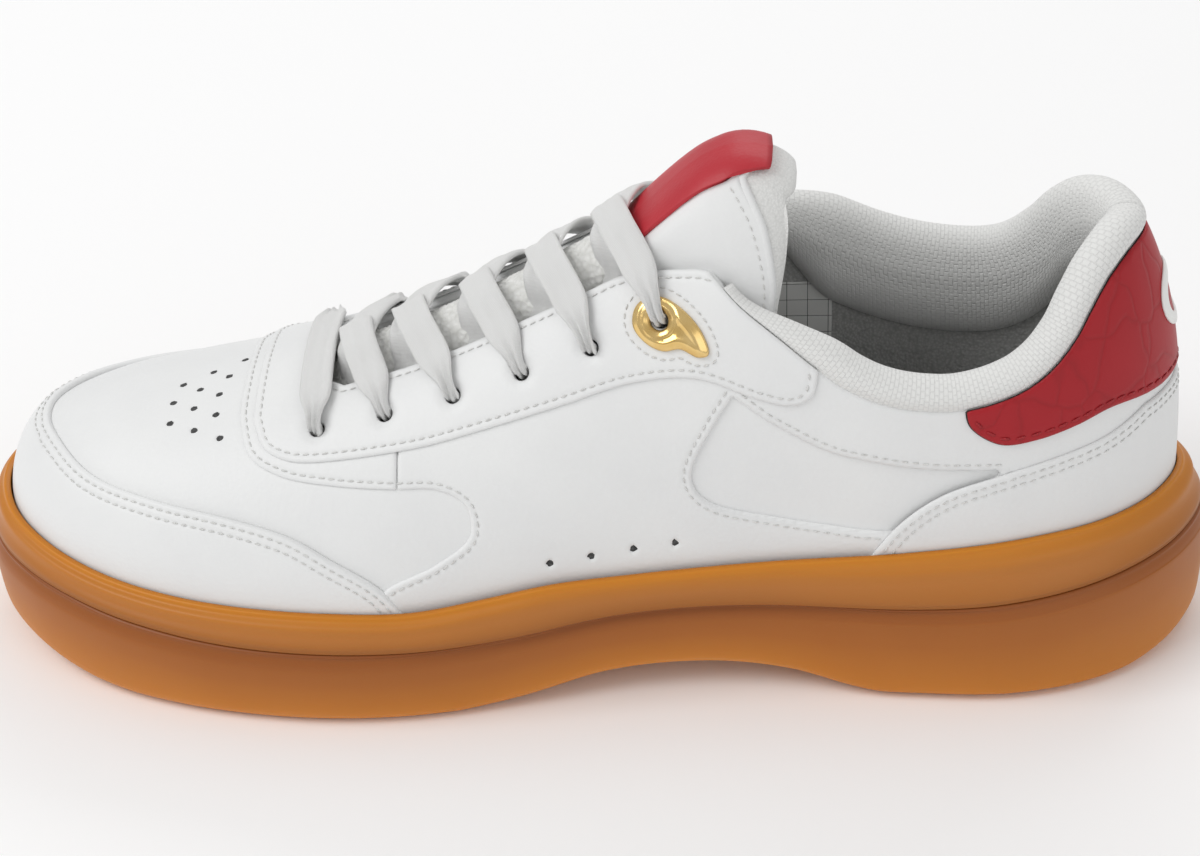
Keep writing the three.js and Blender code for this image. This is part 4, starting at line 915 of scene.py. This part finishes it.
def tread(x, y, inset):
    """Ground contact: siped bars at ball and heel inside a plain border, smooth shank."""
    ball = smooth(x, -118, -112) * (1 - smooth(x, -32, -26))
    heel = smooth(x, 74, 80) * (1 - smooth(x, 128, 134))
    wave = np.abs(((x + 2.2 * np.sin(y / 4.2)) / 7.2) % 1 - 0.5) * 7.2
    bars = 1.6 * smooth(wave, 1.5, 0.75) * smooth(inset, 5.0, 6.2)
    border = 1.2 * smooth(np.abs(inset - 4.2), 0.9, 0.4)
    area = np.maximum(ball, heel)
    return ground_z(x) + np.maximum(bars * area, border * area)


# bands: 0 at the thin ground edge, a painted glow of light through the rubber, up to 1 at the groove, painted
# shade
closed_loft("outsole_rubber", "outsole", [
    (plus(bulge_out, -5.2), ground_z), (plus(bulge_out, -3.4), plus(ground_z, 0.45)),
    (plus(bulge_out, -2.0), plus(ground_z, 1.7)), (plus(bulge_out, -0.7), plus(ground_z, 4.6)),
    (bulge_out, plus(groove_z, -6.5)), (plus(bulge_out, -0.3), plus(groove_z, -3.4)),
    (plus(bulge_out, -1.2), plus(groove_z, -1.3)),
    (plus(between(bulge_out, groove_out, 0.5), -0.4), plus(groove_z, -0.45)),
    (plus(groove_out, -0.5), plus(groove_z, 0.02)), (plus(groove_out, -3.2), plus(groove_z, -0.1))],
    [0.02, 0.05, 0.12, 0.34, 0.62, 0.78, 0.88, 0.94, 0.97, 1.0], 5, gum_low, "gum_rubber_dark",
    bottom=tread, across=120)


def footbed(x, y, inset):
    arch = 2.2 * smooth(x, 20, 60) * smooth(inset, 16, 6)
    return board_top(x) + FIT + 2.6 - 1.4 * smooth(inset, 2, 16) + arch


closed_loft("sockliner_knit", "sockliner", [
    (LINING_IN - 0.6, plus(board_top, FIT)), (LINING_IN - 0.6, lambda x: board_top(x) + FIT + 2.2),
    (LINING_IN - 1.6, lambda x: board_top(x) + FIT + 2.6)],
    [0.5] * 3, 3, insole_mat, "lining_mesh", top=footbed)


# ---- padded collar ----------------------------------------------------------------------------
def top_z(u, x):
    return np.where(u < 0, topline[-1](x), topline[1](x))


def on_line(u, height):
    """t of the last at columns u where it reaches the top line plus height."""
    lo, hi = np.zeros_like(u), np.ones_like(u)
    for _ in range(32):
        t = (lo + hi) / 2
        p = last(u, t)
        below = p[..., 2] < top_z(u, p[..., 0]) + height
        lo, hi = np.where(below, t, lo), np.where(below, hi, t)
    return lo


COLLAR_FRONT, STATIONS = 38, 420
start_u = math.acos(1 - 2 * (COLLAR_FRONT - TOE_X) / (HEEL_X - TOE_X)) / math.pi
run_along = np.linspace(-1, 1, STATIONS)
share = np.abs(run_along)
cu = (start_u + (1 - start_u) * (1 - share)) * np.where(run_along < 0, -1, 1)
seam_t = on_line(cu, 0 * cu)
foot = last(cu, seam_t)
level_out = unit(last_normal(cu, seam_t) * [1, 1, 0])
foot[:, 2] = top_z(cu, foot[:, 0])
along = unit(np.gradient(foot, axis=0))
level_out = unit(level_out - along * (level_out * along).sum(1)[:, None])
up = np.cross(level_out, along)
up *= np.sign(up[:, 2:3])
size = 0.14 + 0.86 * smooth(1 - share, 0.0, 0.13)
tall = np.interp(cu, [-1, -0.9, -0.78, -0.5, 0.5, 0.8, 0.92, 1],
                 [0.62, 0.72, 0.78, 0.80, 1.0, 1.0, 0.8, 0.62])
# the roll's section: how far out of the seam, and how far above it
PROFILE = [(-1.5, -1.6), (-0.5, -0.3), (0.35, 1.4), (0.75, 3.4), (0.45, 5.6), (-0.7, 7.6), (-2.4, 8.9),
           (-4.4, 9.2), (-6.5, 8.4), (-8.1, 6.6), (-9.0, 4.0), (-9.4, 1.0), (-9.8, -3.0), (-10.0, -8.0),
           (-9.4, -13.0), (-8.2, -17.0), (-6.8, -19.6), (-5.4, -21.0), (-4.0, -21.6)]
profile = catmull(PROFILE, 54)
collar_rows, run = [], [0.0]
for k, (a, b) in enumerate(profile):
    out = foot + level_out * (a * (0.3 + 0.7 * size))[:, None]
    if b >= 0:
        p = out + up * (b * size * tall)[:, None]
    else:
        t = on_line(cu, b * size + 0 * cu)
        deep = last(cu, t) + last_normal(cu, t) * (a * (0.45 + 0.55 * size))[:, None]
        q = smooth(-b, 0, 5)
        p = (out + up * (b * size)[:, None]) * (1 - q) + deep * q
    collar_rows.append(p)
    if k:
        run.append(run[-1] + math.hypot(*(profile[k] - profile[k - 1])))
collar_rows += [foot + level_out * (-2.6 * size)[:, None] + up * (h * size)[:, None] for h in (3.0, -1.0)]
total, cols = len(collar_rows), STATIONS
faces = grid_faces(total, cols).tolist()
faces += [[(total - 1) * cols + i, (total - 1) * cols + i + 1, i + 1, i] for i in range(cols - 1)]
faces += [[j * cols for j in range(total)], [j * cols + cols - 1 for j in reversed(range(total))]]
length = np.concatenate([[0], np.cumsum(np.linalg.norm(np.diff(foot, axis=0), axis=1))])
uv = np.stack([np.tile(length, total), np.repeat(run + [run[-1] + 3, run[-1] + 6], cols)], -1)
collar = make("collar_padded", np.vstack(collar_rows), faces, collar_mat, slot="collar_knit", uv=uv)
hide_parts("collar")

# ---- tongue -------------------------------------------------------------------------------------
FLEECE, SWELL, SWELL_HALF = 2.6, 7.8, 12.2
FLEECE_ROWS, FLEECE_COLS = 150, 81
tongue_lift = through([[-66, 0], [0, 0], [6, 1.6], [10, 3.6], [16, 5.5], [46, 8]])
hinge_from, hinge_to = metres([4, 0, 96]), metres([14, 0, 100])


def tongue_at(x, y):
    """Outer face of the tongue: swells between the laces, stands up behind them."""
    p, n = on_crown(x, y, TONGUE_OUT - 0.4 * smooth(x, 4, 12))
    p[..., 2] += tongue_lift(x) * (1 - smooth(np.abs(y + 1.5), 9.5, 20.0))
    crown = SWELL * np.clip(1 - (y / SWELL_HALF) ** 2, 0, 1) ** 0.75
    swell = crown * (1 - 0.5 * smooth(x, 2, 14)) * smooth(x, -66, -58)
    return p + n * swell[..., None]


def flexes(piece, stands_for=None):
    """A piece of the tongue: hides the CAD part it stands for and bakes its placement into its mesh."""
    if stands_for:
        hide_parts(stands_for)
    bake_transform(piece)


gx, gb = np.linspace(-72, 15, FLEECE_ROWS), np.linspace(-1, 1, FLEECE_COLS)
half = np.interp(gx, [-79, -70, -50, -20, 7, 12, 24, 36, 46], [8, 17, 22, 25.5, 26, 25.2, 23, 19.5, 17.5])
gxx, gyy = gx[:, None] + 0 * gb, half[:, None] * gb
front = tongue_at(gxx, gyy)
fuzz = 0.35 * np.sin(gxx * 2.9 + 1.3 * np.sin(gyy * 1.7)) * np.sin(gyy * 2.3 + gxx * 0.4)
front[..., 2] += fuzz * (np.abs(gyy) < 14)
n = unit(np.cross(np.gradient(front, axis=0), np.gradient(front, axis=1)))
n *= np.sign(n[..., 2:3].mean())
thick = FLEECE * (1 - 0.6 * np.abs(gb) ** 6) + 0 * gxx
rear = front - n * thick[..., None]
flat = np.stack(np.meshgrid(np.arange(FLEECE_COLS) * 1.0, np.arange(FLEECE_ROWS) * 1.0), -1).reshape(-1, 2)
grid = grid_faces(FLEECE_ROWS, FLEECE_COLS).tolist()
pts, faces = thick_shell(front.reshape(-1, 3), rear.reshape(-1, 3), grid)
lower = make("tongue_fleece", pts, outward(pts, faces), tongue_mat, None, "tongue_mesh",
             np.vstack([flat, flat]))
flexes(lower, "tongue_lower")

# the upper tongue arches over the foot: half sections, as half width and drop below the crest
LOW = [[0, 0], [6, 0.5], [10, 1.8], [12.4, 3.6], [13.5, 6], [14, 9], [14.2, 12], [14.3, 14], [14.4, 15]]
HIGH = [[0, 0], [6, 0.7], [10, 2.8], [13, 7.2], [15.3, 13], [17.2, 21], [18.4, 28], [19, 34], [19.4, 38]]
crest_z = through([[9, 108], [11.7, 110.6], [22.4, 121.6], [29, 127.4], [34, 130.2], [37, 131.2], [40, 131.4],
                   [44, 131.2], [50, 130.4]])
rear_x = through([[0, 38], [0.17, 37.6], [0.25, 36.8], [0.375, 39.5], [0.5, 42.6], [0.625, 44.8],
                  [0.75, 45.8], [0.875, 45.4], [1, 44.6]])
half_width = [through([[k / 8, p[0]] for k, p in enumerate(r)]) for r in (LOW, HIGH)]
half_drop = [through([[k / 8, p[1]] for k, p in enumerate(r)]) for r in (LOW, HIGH)]


def arch(x, c):
    """Face of the upper tongue at station x, c 0 on the crest and -1, 1 at its two side edges."""
    q, b = smooth(x, 12, 40), np.abs(c) + 0 * x
    y = (half_width[0](b) * (1 - q) + half_width[1](b) * q) * np.sign(c + 0 * x)
    return np.stack([x + 0 * b, y - 0.5, crest_z(x) - half_drop[0](b) * (1 - q) - half_drop[1](b) * q], -1)


FACE_ROWS = 70


def tongue_loops(c, a0=0.0, lift=0.0):
    """Closed loops at columns c: up the face from share a0, over the rolled top and down the back."""
    a = np.linspace(a0, 1, FACE_ROWS)[:, None]
    b = np.abs(c)
    f = arch(11 + (rear_x(b) - 11) * a, c)
    d = unit(np.stack([0.50 + 0.30 * a[:, 0], 0 * a[:, 0], -0.87 + 0.27 * a[:, 0]], -1))[:, None, :]
    thick = through([[0, 2.8], [0.3, 5.0], [0.6, 9.5], [0.85, 13.5], [1, 14.5]])(a)
    inward = -np.sign(c) * smooth(b, 0.15, 0.6) * (1.2 + 2.4 * smooth(a, 0, 0.4))
    back = f + d * (thick * (1 - smooth(b, 0.1, 0.85) * 0.9))[..., None]
    back[..., 1] += inward
    leave, enter = unit(f[-1] - f[-3]), unit(back[-3] - back[-1])
    reach = 1.7 * np.linalg.norm(back[-1] - f[-1], axis=-1, keepdims=True)
    cap = []
    for q in np.linspace(0, 1, 18)[1:-1]:
        m = q * q * (3 - 2 * q)
        bulge = leave * q * (1 - q) ** 2 + enter * q * q * (q - 1)
        cap.append(f[-1] * (1 - m) + back[-1] * m + reach * bulge)
    loop = np.concatenate([f, np.array(cap), back[::-1]])
    n = unit(np.cross(unit(np.gradient(loop, axis=0)), np.gradient(loop, axis=1)))
    n *= np.sign(n[3, len(c) // 2, 2])
    return loop + n * lift, n


def loop_body(name, loop, mat, slot):
    """Closed body lofted across closed loops."""
    m, k = loop.shape[:2]
    at = np.arange(m * k).reshape(m, k)
    after = np.roll(at, -1, 0)
    faces = np.stack([at[:, :-1], at[:, 1:], after[:, 1:], after[:, :-1]], -1).reshape(-1, 4).tolist()
    faces += [at[:, 0].tolist(), at[::-1, -1].tolist()]
    pts = loop.reshape(-1, 3)
    run_up = np.cumsum(np.linalg.norm(np.diff(loop, axis=0, prepend=loop[:1]), axis=2).mean(1))
    run_across = np.cumsum(np.linalg.norm(np.diff(loop, axis=1, prepend=loop[:, :1]), axis=2), axis=1)
    uv = np.stack([run_across, np.broadcast_to(run_up[:, None], (m, k))], -1)
    return make(name, pts, outward(pts, faces), mat, None, slot, uv.reshape(-1, 2))


columns = np.linspace(-1, 1, 91)
loop, loop_n = tongue_loops(columns, lift=-0.9)
padding = loop_body("tongue_padding", loop, velour, "collar_knit")
flexes(padding, "tongue_upper")


def wrap(name, c, a0, last_row, outer, inner, mat, slot, rounded=0):
    """Thin sheet laid over the padded tongue, up to a row of its loops, its far corners rounded."""
    sheets = []
    for lift in (outer, inner):
        sheet = tongue_loops(c, a0, lift)[0][:last_row]
        for k in range(rounded):
            narrow = math.sqrt(1 - 0.62 * ((k + 1) / rounded) ** 2.4)
            row = last_row - rounded + k
            sheet[row] = tongue_loops(c * narrow, a0, lift)[0][row]
        sheets.append(sheet)
    return loop_body(name, np.concatenate([sheets[0], sheets[1][::-1]]), mat, slot)


flexes(wrap("tongue_leather", columns, 0, FACE_ROWS + 1, 0.15, -0.95, leather, "white_leather"))
edge_line, edge_n = loop[FACE_ROWS + 1], loop_n[FACE_ROWS - 2]
away = unit(np.cross(unit(np.gradient(edge_line, axis=0)), edge_n))
away *= np.sign((away * (loop[FACE_ROWS + 3] - loop[FACE_ROWS - 3])).sum(-1, keepdims=True))
pts = np.stack([edge_line + away * (1.2 * math.cos(g) - 0.8) + edge_n * (1.1 * math.sin(g) + 0.2)
                for g in np.linspace(0, 2 * math.pi, 13)[:-1]], 0)
flexes(loop_body("tongue_binding", pts, binding, "white_leather"))
line, line_n = loop[FACE_ROWS - 5], loop_n[FACE_ROWS - 5]
sides = [(line[k] + line_n[k], line_n[k]) for k in (columns < -0.27, columns > 0.27)]
flexes(stitch_rows("tongue_stitches", sides, body=None))
flexes(wrap("tongue_label_patch", np.linspace(-0.26, 0.25, 49), 0.02, FACE_ROWS + 5, 1.25, 0.2, red_smooth,
            "red_leather", rounded=14), "tongue_label")

# ---- shoelace -----------------------------------------------------------------------------------
OVER = FIT + LEATHER + 2 * FIT + LACE_THICK / 2
ORNAMENT = 1.5
CROSS_GAP = LACE_THICK + FIT


def lie_on(points, height, width, count, a=0.0, b=1.0):
    path = catmull(points, 200)
    s = np.concatenate([[0], np.cumsum(np.linalg.norm(np.diff(path, axis=0), axis=1))])
    q = a + (b - a) * np.arange(count + 1) / count
    x = np.interp(q * s[-1], s, path[:, 0])
    y = np.interp(q * s[-1], s, path[:, 1])
    p, n = on_crown(x, y, height(q) + 0 * q)
    return [dict(p=p[i], n=n[i], w=float(width(q[i]))) for i in range(count + 1)]


def lace_top(k):
    return OVER + ORNAMENT if k == EYELETS - 1 else OVER


def lace_run(side):
    """Half of the lace: from the middle of the first bar to its tucked end."""
    st = lie_on([[EYELET_X[0], 0], [EYELET_X[0], side * (EYELET_ROW - 1.2)]], lambda q: OVER + 0 * q,
                lambda q: LACE_WIDTH - (LACE_WIDTH - NECK) * smooth(q, 0.72, 1), 10)
    k = 0
    while True:
        c, n = eyelet_p[(k, side)]
        hole = np.array([EYELET_X[k], side * EYELET_ROW])
        for h in (lace_top(k) - 1.2, 0.2, -2.0, LACE_UNDER + 1.3):
            st.append(dict(p=c + n * h, n=None, w=NECK))
        if k == EYELETS - 1:
            end = [hole[0] + 15, side * 30.6]
            st += lie_on([[hole[0] + 2, hole[1] + side * 1.2], [hole[0] + 8, side * 27.8], end],
                         lambda q: LACE_UNDER - 1.3 * smooth(q, 0.3, 1),
                         lambda q: NECK + 1.2 * smooth(q, 0, 0.5) - 1.8 * smooth(q, 0.7, 1), 8)
            return st
        out = np.array([EYELET_X[k] + (7 if k == 0 else 3), side * (THROAT_HALF - 1.2 - LACE_THICK)])
        way = (out - hole) / np.linalg.norm(out - hole)
        st += lie_on([hole + way * 2, out], lambda q: LACE_UNDER + 1.6 * smooth(q, 0.8, 1),
                     lambda q: NECK + (LACE_WIDTH - NECK) * smooth(q, 0, 0.9), 8, 0, 0.97)
        side = -side
        other = np.array([EYELET_X[k + 1], side * EYELET_ROW])
        way = (other - out) / np.linalg.norm(other - out)
        crest = 0 if -side < 0 else CROSS_GAP
        rise_to = lace_top(k + 1)
        # a crossing bows a little, as a pulled flat lace does
        mid = (out + other) / 2 + np.array([-way[1], way[0]]) * 0.9 * side
        st += lie_on([out, mid, other - way * 1.2],
                     lambda q, r=rise_to, c=crest: LACE_UNDER + 1.6
                     + (r - LACE_UNDER - 1.6) * smooth(q, 0, 0.2)
                     + c * smooth(q, 0.12, 0.3) * (1 - smooth(q, 0.5, 0.72)) + 0.7 * np.sin(np.pi * q) ** 2,
                     lambda q: LACE_WIDTH + 0.5 - (LACE_WIDTH + 0.5 - NECK) * smooth(q, 0.78, 1), 26, 0.04, 1)
        k += 1


def shoelace():
    a, b = lace_run(-1), lace_run(1)
    st = a[1:][::-1] + b
    p = np.array([s["p"] for s in st])
    w = np.array([s["w"] for s in st])
    # the width lies square to the crown's normals; inside an eyelet it turns from one to the next
    tangent = unit(np.gradient(p, axis=0))
    wide = np.zeros_like(p)
    prev = None
    for i, s in enumerate(st):
        if s["n"] is not None:
            v = np.cross(unit(s["n"] - tangent[i] * (s["n"] @ tangent[i])), tangent[i])
            if prev is not None and v @ prev < 0:
                v = -v
        else:
            v = prev - tangent[i] * (prev @ tangent[i])
        prev = wide[i] = unit(v)
    face = unit(np.cross(tangent, wide))
    s = np.concatenate([[0], np.cumsum(np.linalg.norm(np.diff(p, axis=0), axis=1))])
    fine = np.arange(0, s[-1], 0.55)
    take = lambda v: np.stack([np.interp(fine, s, v[:, c]) for c in range(v.shape[1])], -1)
    kernel = np.array([1, 3, 5, 6, 5, 3, 1]) / 24.0

    def ease(v):
        padded = np.vstack([np.repeat(v[:1], 3, 0), v, np.repeat(v[-1:], 3, 0)])
        return sum(padded[k:k + len(v)] * kernel[k] for k in range(7))

    p, wide, face = ease(take(p)), unit(ease(take(wide))), unit(ease(take(face)))
    w = ease(np.interp(fine, s, w)[:, None])[:, 0]
    across = np.linspace(-1, 1, 15)
    gather = np.clip((LACE_WIDTH - w) / (LACE_WIDTH - NECK), 0, 1)
    rows = []
    rng = np.random.default_rng(7)
    phase = np.cumsum(rng.normal(0, 0.12, len(fine)))
    for v, sign in [(v, 1) for v in across] + [(v, -1) for v in across[::-1]]:
        fold = (0.55 * gather + 0.10) * np.cos(v * 7.5 + phase) + 0.25 * gather * np.sin(v * 13 + phase * 2)
        cup = -0.35 * v * v
        half = LACE_THICK / 2 * (0.62 + 0.38 * math.sqrt(max(1 - v ** 6, 0)))
        rows.append(p + wide * (v * w / 2)[:, None] + face * (fold + cup + sign * half)[:, None])
    pts = np.stack(rows, 1)
    count, c = pts.shape[:2]
    faces = grid_faces(count, c, wrap=True).tolist()
    faces += [list(range(c))[::-1], [(count - 1) * c + i for i in range(c)]]
    vv = np.concatenate([across, across[::-1]]) * 4
    uv = np.stack([np.tile(vv, count), np.repeat(fine, c)], -1)
    o = make("shoelace_flat", pts.reshape(-1, 3), faces, lace_mat, slot="lace", uv=uv)
    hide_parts("shoelace")
    return s[-1]


lace_length = shoelace()

# ---- gold eyelets and heel emblem ---------------------------------------------------------------
TEARDROP = np.array([[-6.2, -2], [-3.2, -5], [0.8, -6.2], [4.8, -5.4], [8.8, -6.8], [11.3, -6], [9.9, -1.4],
                     [6.3, 2.4], [1.3, 4.6], [-2.7, 4], [-5.7, 1.5]])
PLATE_LOW, PLATE_EDGE, PLATE_CROWN = 1.0, 1.6, 0.9
PLATE_GRID = 150
f_plate = np.full(len(X), -FAR)


def plate_field(c, p, n, count):
    return signed(catmull(TEARDROP + [c[0], c[2]], count, True), p[:, 0], p[:, 2], n[:, 0], n[:, 2])


for side, hand in HANDS:
    c, _ = eyelet_p[(EYELETS - 1, side)]
    x = np.linspace(c[0] - 8, c[0] + 13, PLATE_GRID)
    y = np.linspace(side * 12.0, side * 33.0, PLATE_GRID)
    gxx, gyy = np.meshgrid(x, y)
    p, n = (v.reshape(-1, 3) for v in on_crown(gxx, gyy, 0.0 * gxx))
    d = plate_field(c, p, n, 160)
    hole = np.linalg.norm(p - c, axis=1) - HOLE - 0.2
    keep = np.minimum(d, hole)
    whole, cut, order = trimmed(keep, grid_faces(PLATE_GRID, PLATE_GRID))
    mix = mixer(order)
    height = (PLATE_EDGE + PLATE_CROWN * np.sqrt(np.clip(keep / 1.5, 0, 1))
              + 0.35 * np.exp(-((d - 2.1) / 0.8) ** 2) - 0.3 * np.exp(-((hole - 2.2) / 0.5) ** 2))
    upper = np.vstack([p + n * height[:, None], mix(p) + unit(mix(n)) * PLATE_EDGE])
    under = np.vstack([p + n * PLATE_LOW, mix(p) + unit(mix(n)) * PLATE_LOW])
    points, faces = thick_shell(upper, under, whole.tolist() + cut)
    faces = turned(faces) if side < 0 else faces
    plate = make(hand + "_gold_eyelet_plate", points, faces, gold, slot="gold_metal")
    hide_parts(hand + "_gold_eyelet")
    near = (np.abs(X - c[0]) < 25) & (np.sign(Y) == side) & (Z > 75)
    f_plate[near] = plate_field(c, P[near], N[near], 80)
on_stay = np.minimum.reduce([f_eyestay - 1, -f_throat - 1, -f_mouth - 1])
stitch_rows("gold_eyelet_stitches", rows_at(f_plate, [-2.1], OVER_TOP + 0.02, on_stay), pitch=2.1, long=1.5)

EMBLEM_Z, EMBLEM_OUT, EMBLEM_IN = 91, 8, 5
from_middle = np.hypot(Y, Z - EMBLEM_Z) + np.where(X > 90, 0, 100)
panel("heel_emblem_ring", "heel_emblem", np.minimum(EMBLEM_OUT - from_middle, from_middle - EMBLEM_IN),
      OVER_TOP + 0.85, OVER_TOP + 0.17, emblem_mat, region=X > 90)

# ---- stage --------------------------------------------------------------------------------------
floor_mesh = bpy.data.meshes.new("floor")
corners = [(x, y, -0.0002) for x, y in ((-6, -6), (6, -6), (6, 6), (-6, 6))]
floor_mesh.from_pydata(corners, [], [(0, 1, 2, 3)])
floor_mesh.materials.append(material("floor", (0.95, 0.95, 0.95), 0.85))
floor = bpy.data.objects.new("floor", floor_mesh)
bpy.context.collection.objects.link(floor)

world = bpy.data.worlds.new("studio")
world.use_nodes = True
world.node_tree.nodes["Background"].inputs["Color"].default_value = (1, 1, 1, 1)
world.node_tree.nodes["Background"].inputs["Strength"].default_value = 0.58
bpy.context.scene.world = world

LIGHTS = (("key", (-1.1, -0.5, 1.4), (1.2, 0.9), 14), ("fill", (0.9, -1.0, 0.7), (1.0, 0.8), 2),
          ("back", (0.3, 1.2, 1.0), (1.2, 0.6), 5))
for name, place, size, power in LIGHTS:
    light = bpy.data.lights.new(name, "AREA")
    light.shape = "RECTANGLE"
    light.size, light.size_y = size
    light.energy = power
    o = bpy.data.objects.new(name, light)
    bpy.context.collection.objects.link(o)
    o.location = place
    o.rotation_euler = (Vector((0, 0, 0.05)) - Vector(place)).to_track_quat("-Z", "Y").to_euler()

AZIMUTH, ELEVATION, ROLL, DISTANCE = 4.27, 34.58, 2.59, 0.773
camera = bpy.data.cameras.new("camera")
camera.sensor_width = 36
camera.lens = 92.85
camera.shift_x, camera.shift_y = 0.00825, 0.01867
camera.clip_start, camera.clip_end = 0.01, 50
cam = bpy.data.objects.new("camera", camera)
bpy.context.collection.objects.link(cam)
az, el, roll = (math.radians(v) for v in (AZIMUTH, ELEVATION, ROLL))
back = Vector((math.sin(az) * math.cos(el), -math.cos(az) * math.cos(el), math.sin(el)))
right = Vector((math.cos(az), math.sin(az), 0))
top = back.cross(right)
turn = Matrix((right * math.cos(roll) - top * math.sin(roll),
               right * math.sin(roll) + top * math.cos(roll), back))
cam.matrix_world = (Matrix.Translation(Vector(metres([0, 0, 45]).tolist()) + back * DISTANCE)
                    @ turn.transposed().to_4x4())
bpy.context.scene.camera = cam
bpy.context.scene.view_settings.view_transform = "Standard"

print("lace length mm", round(lace_length, 1))
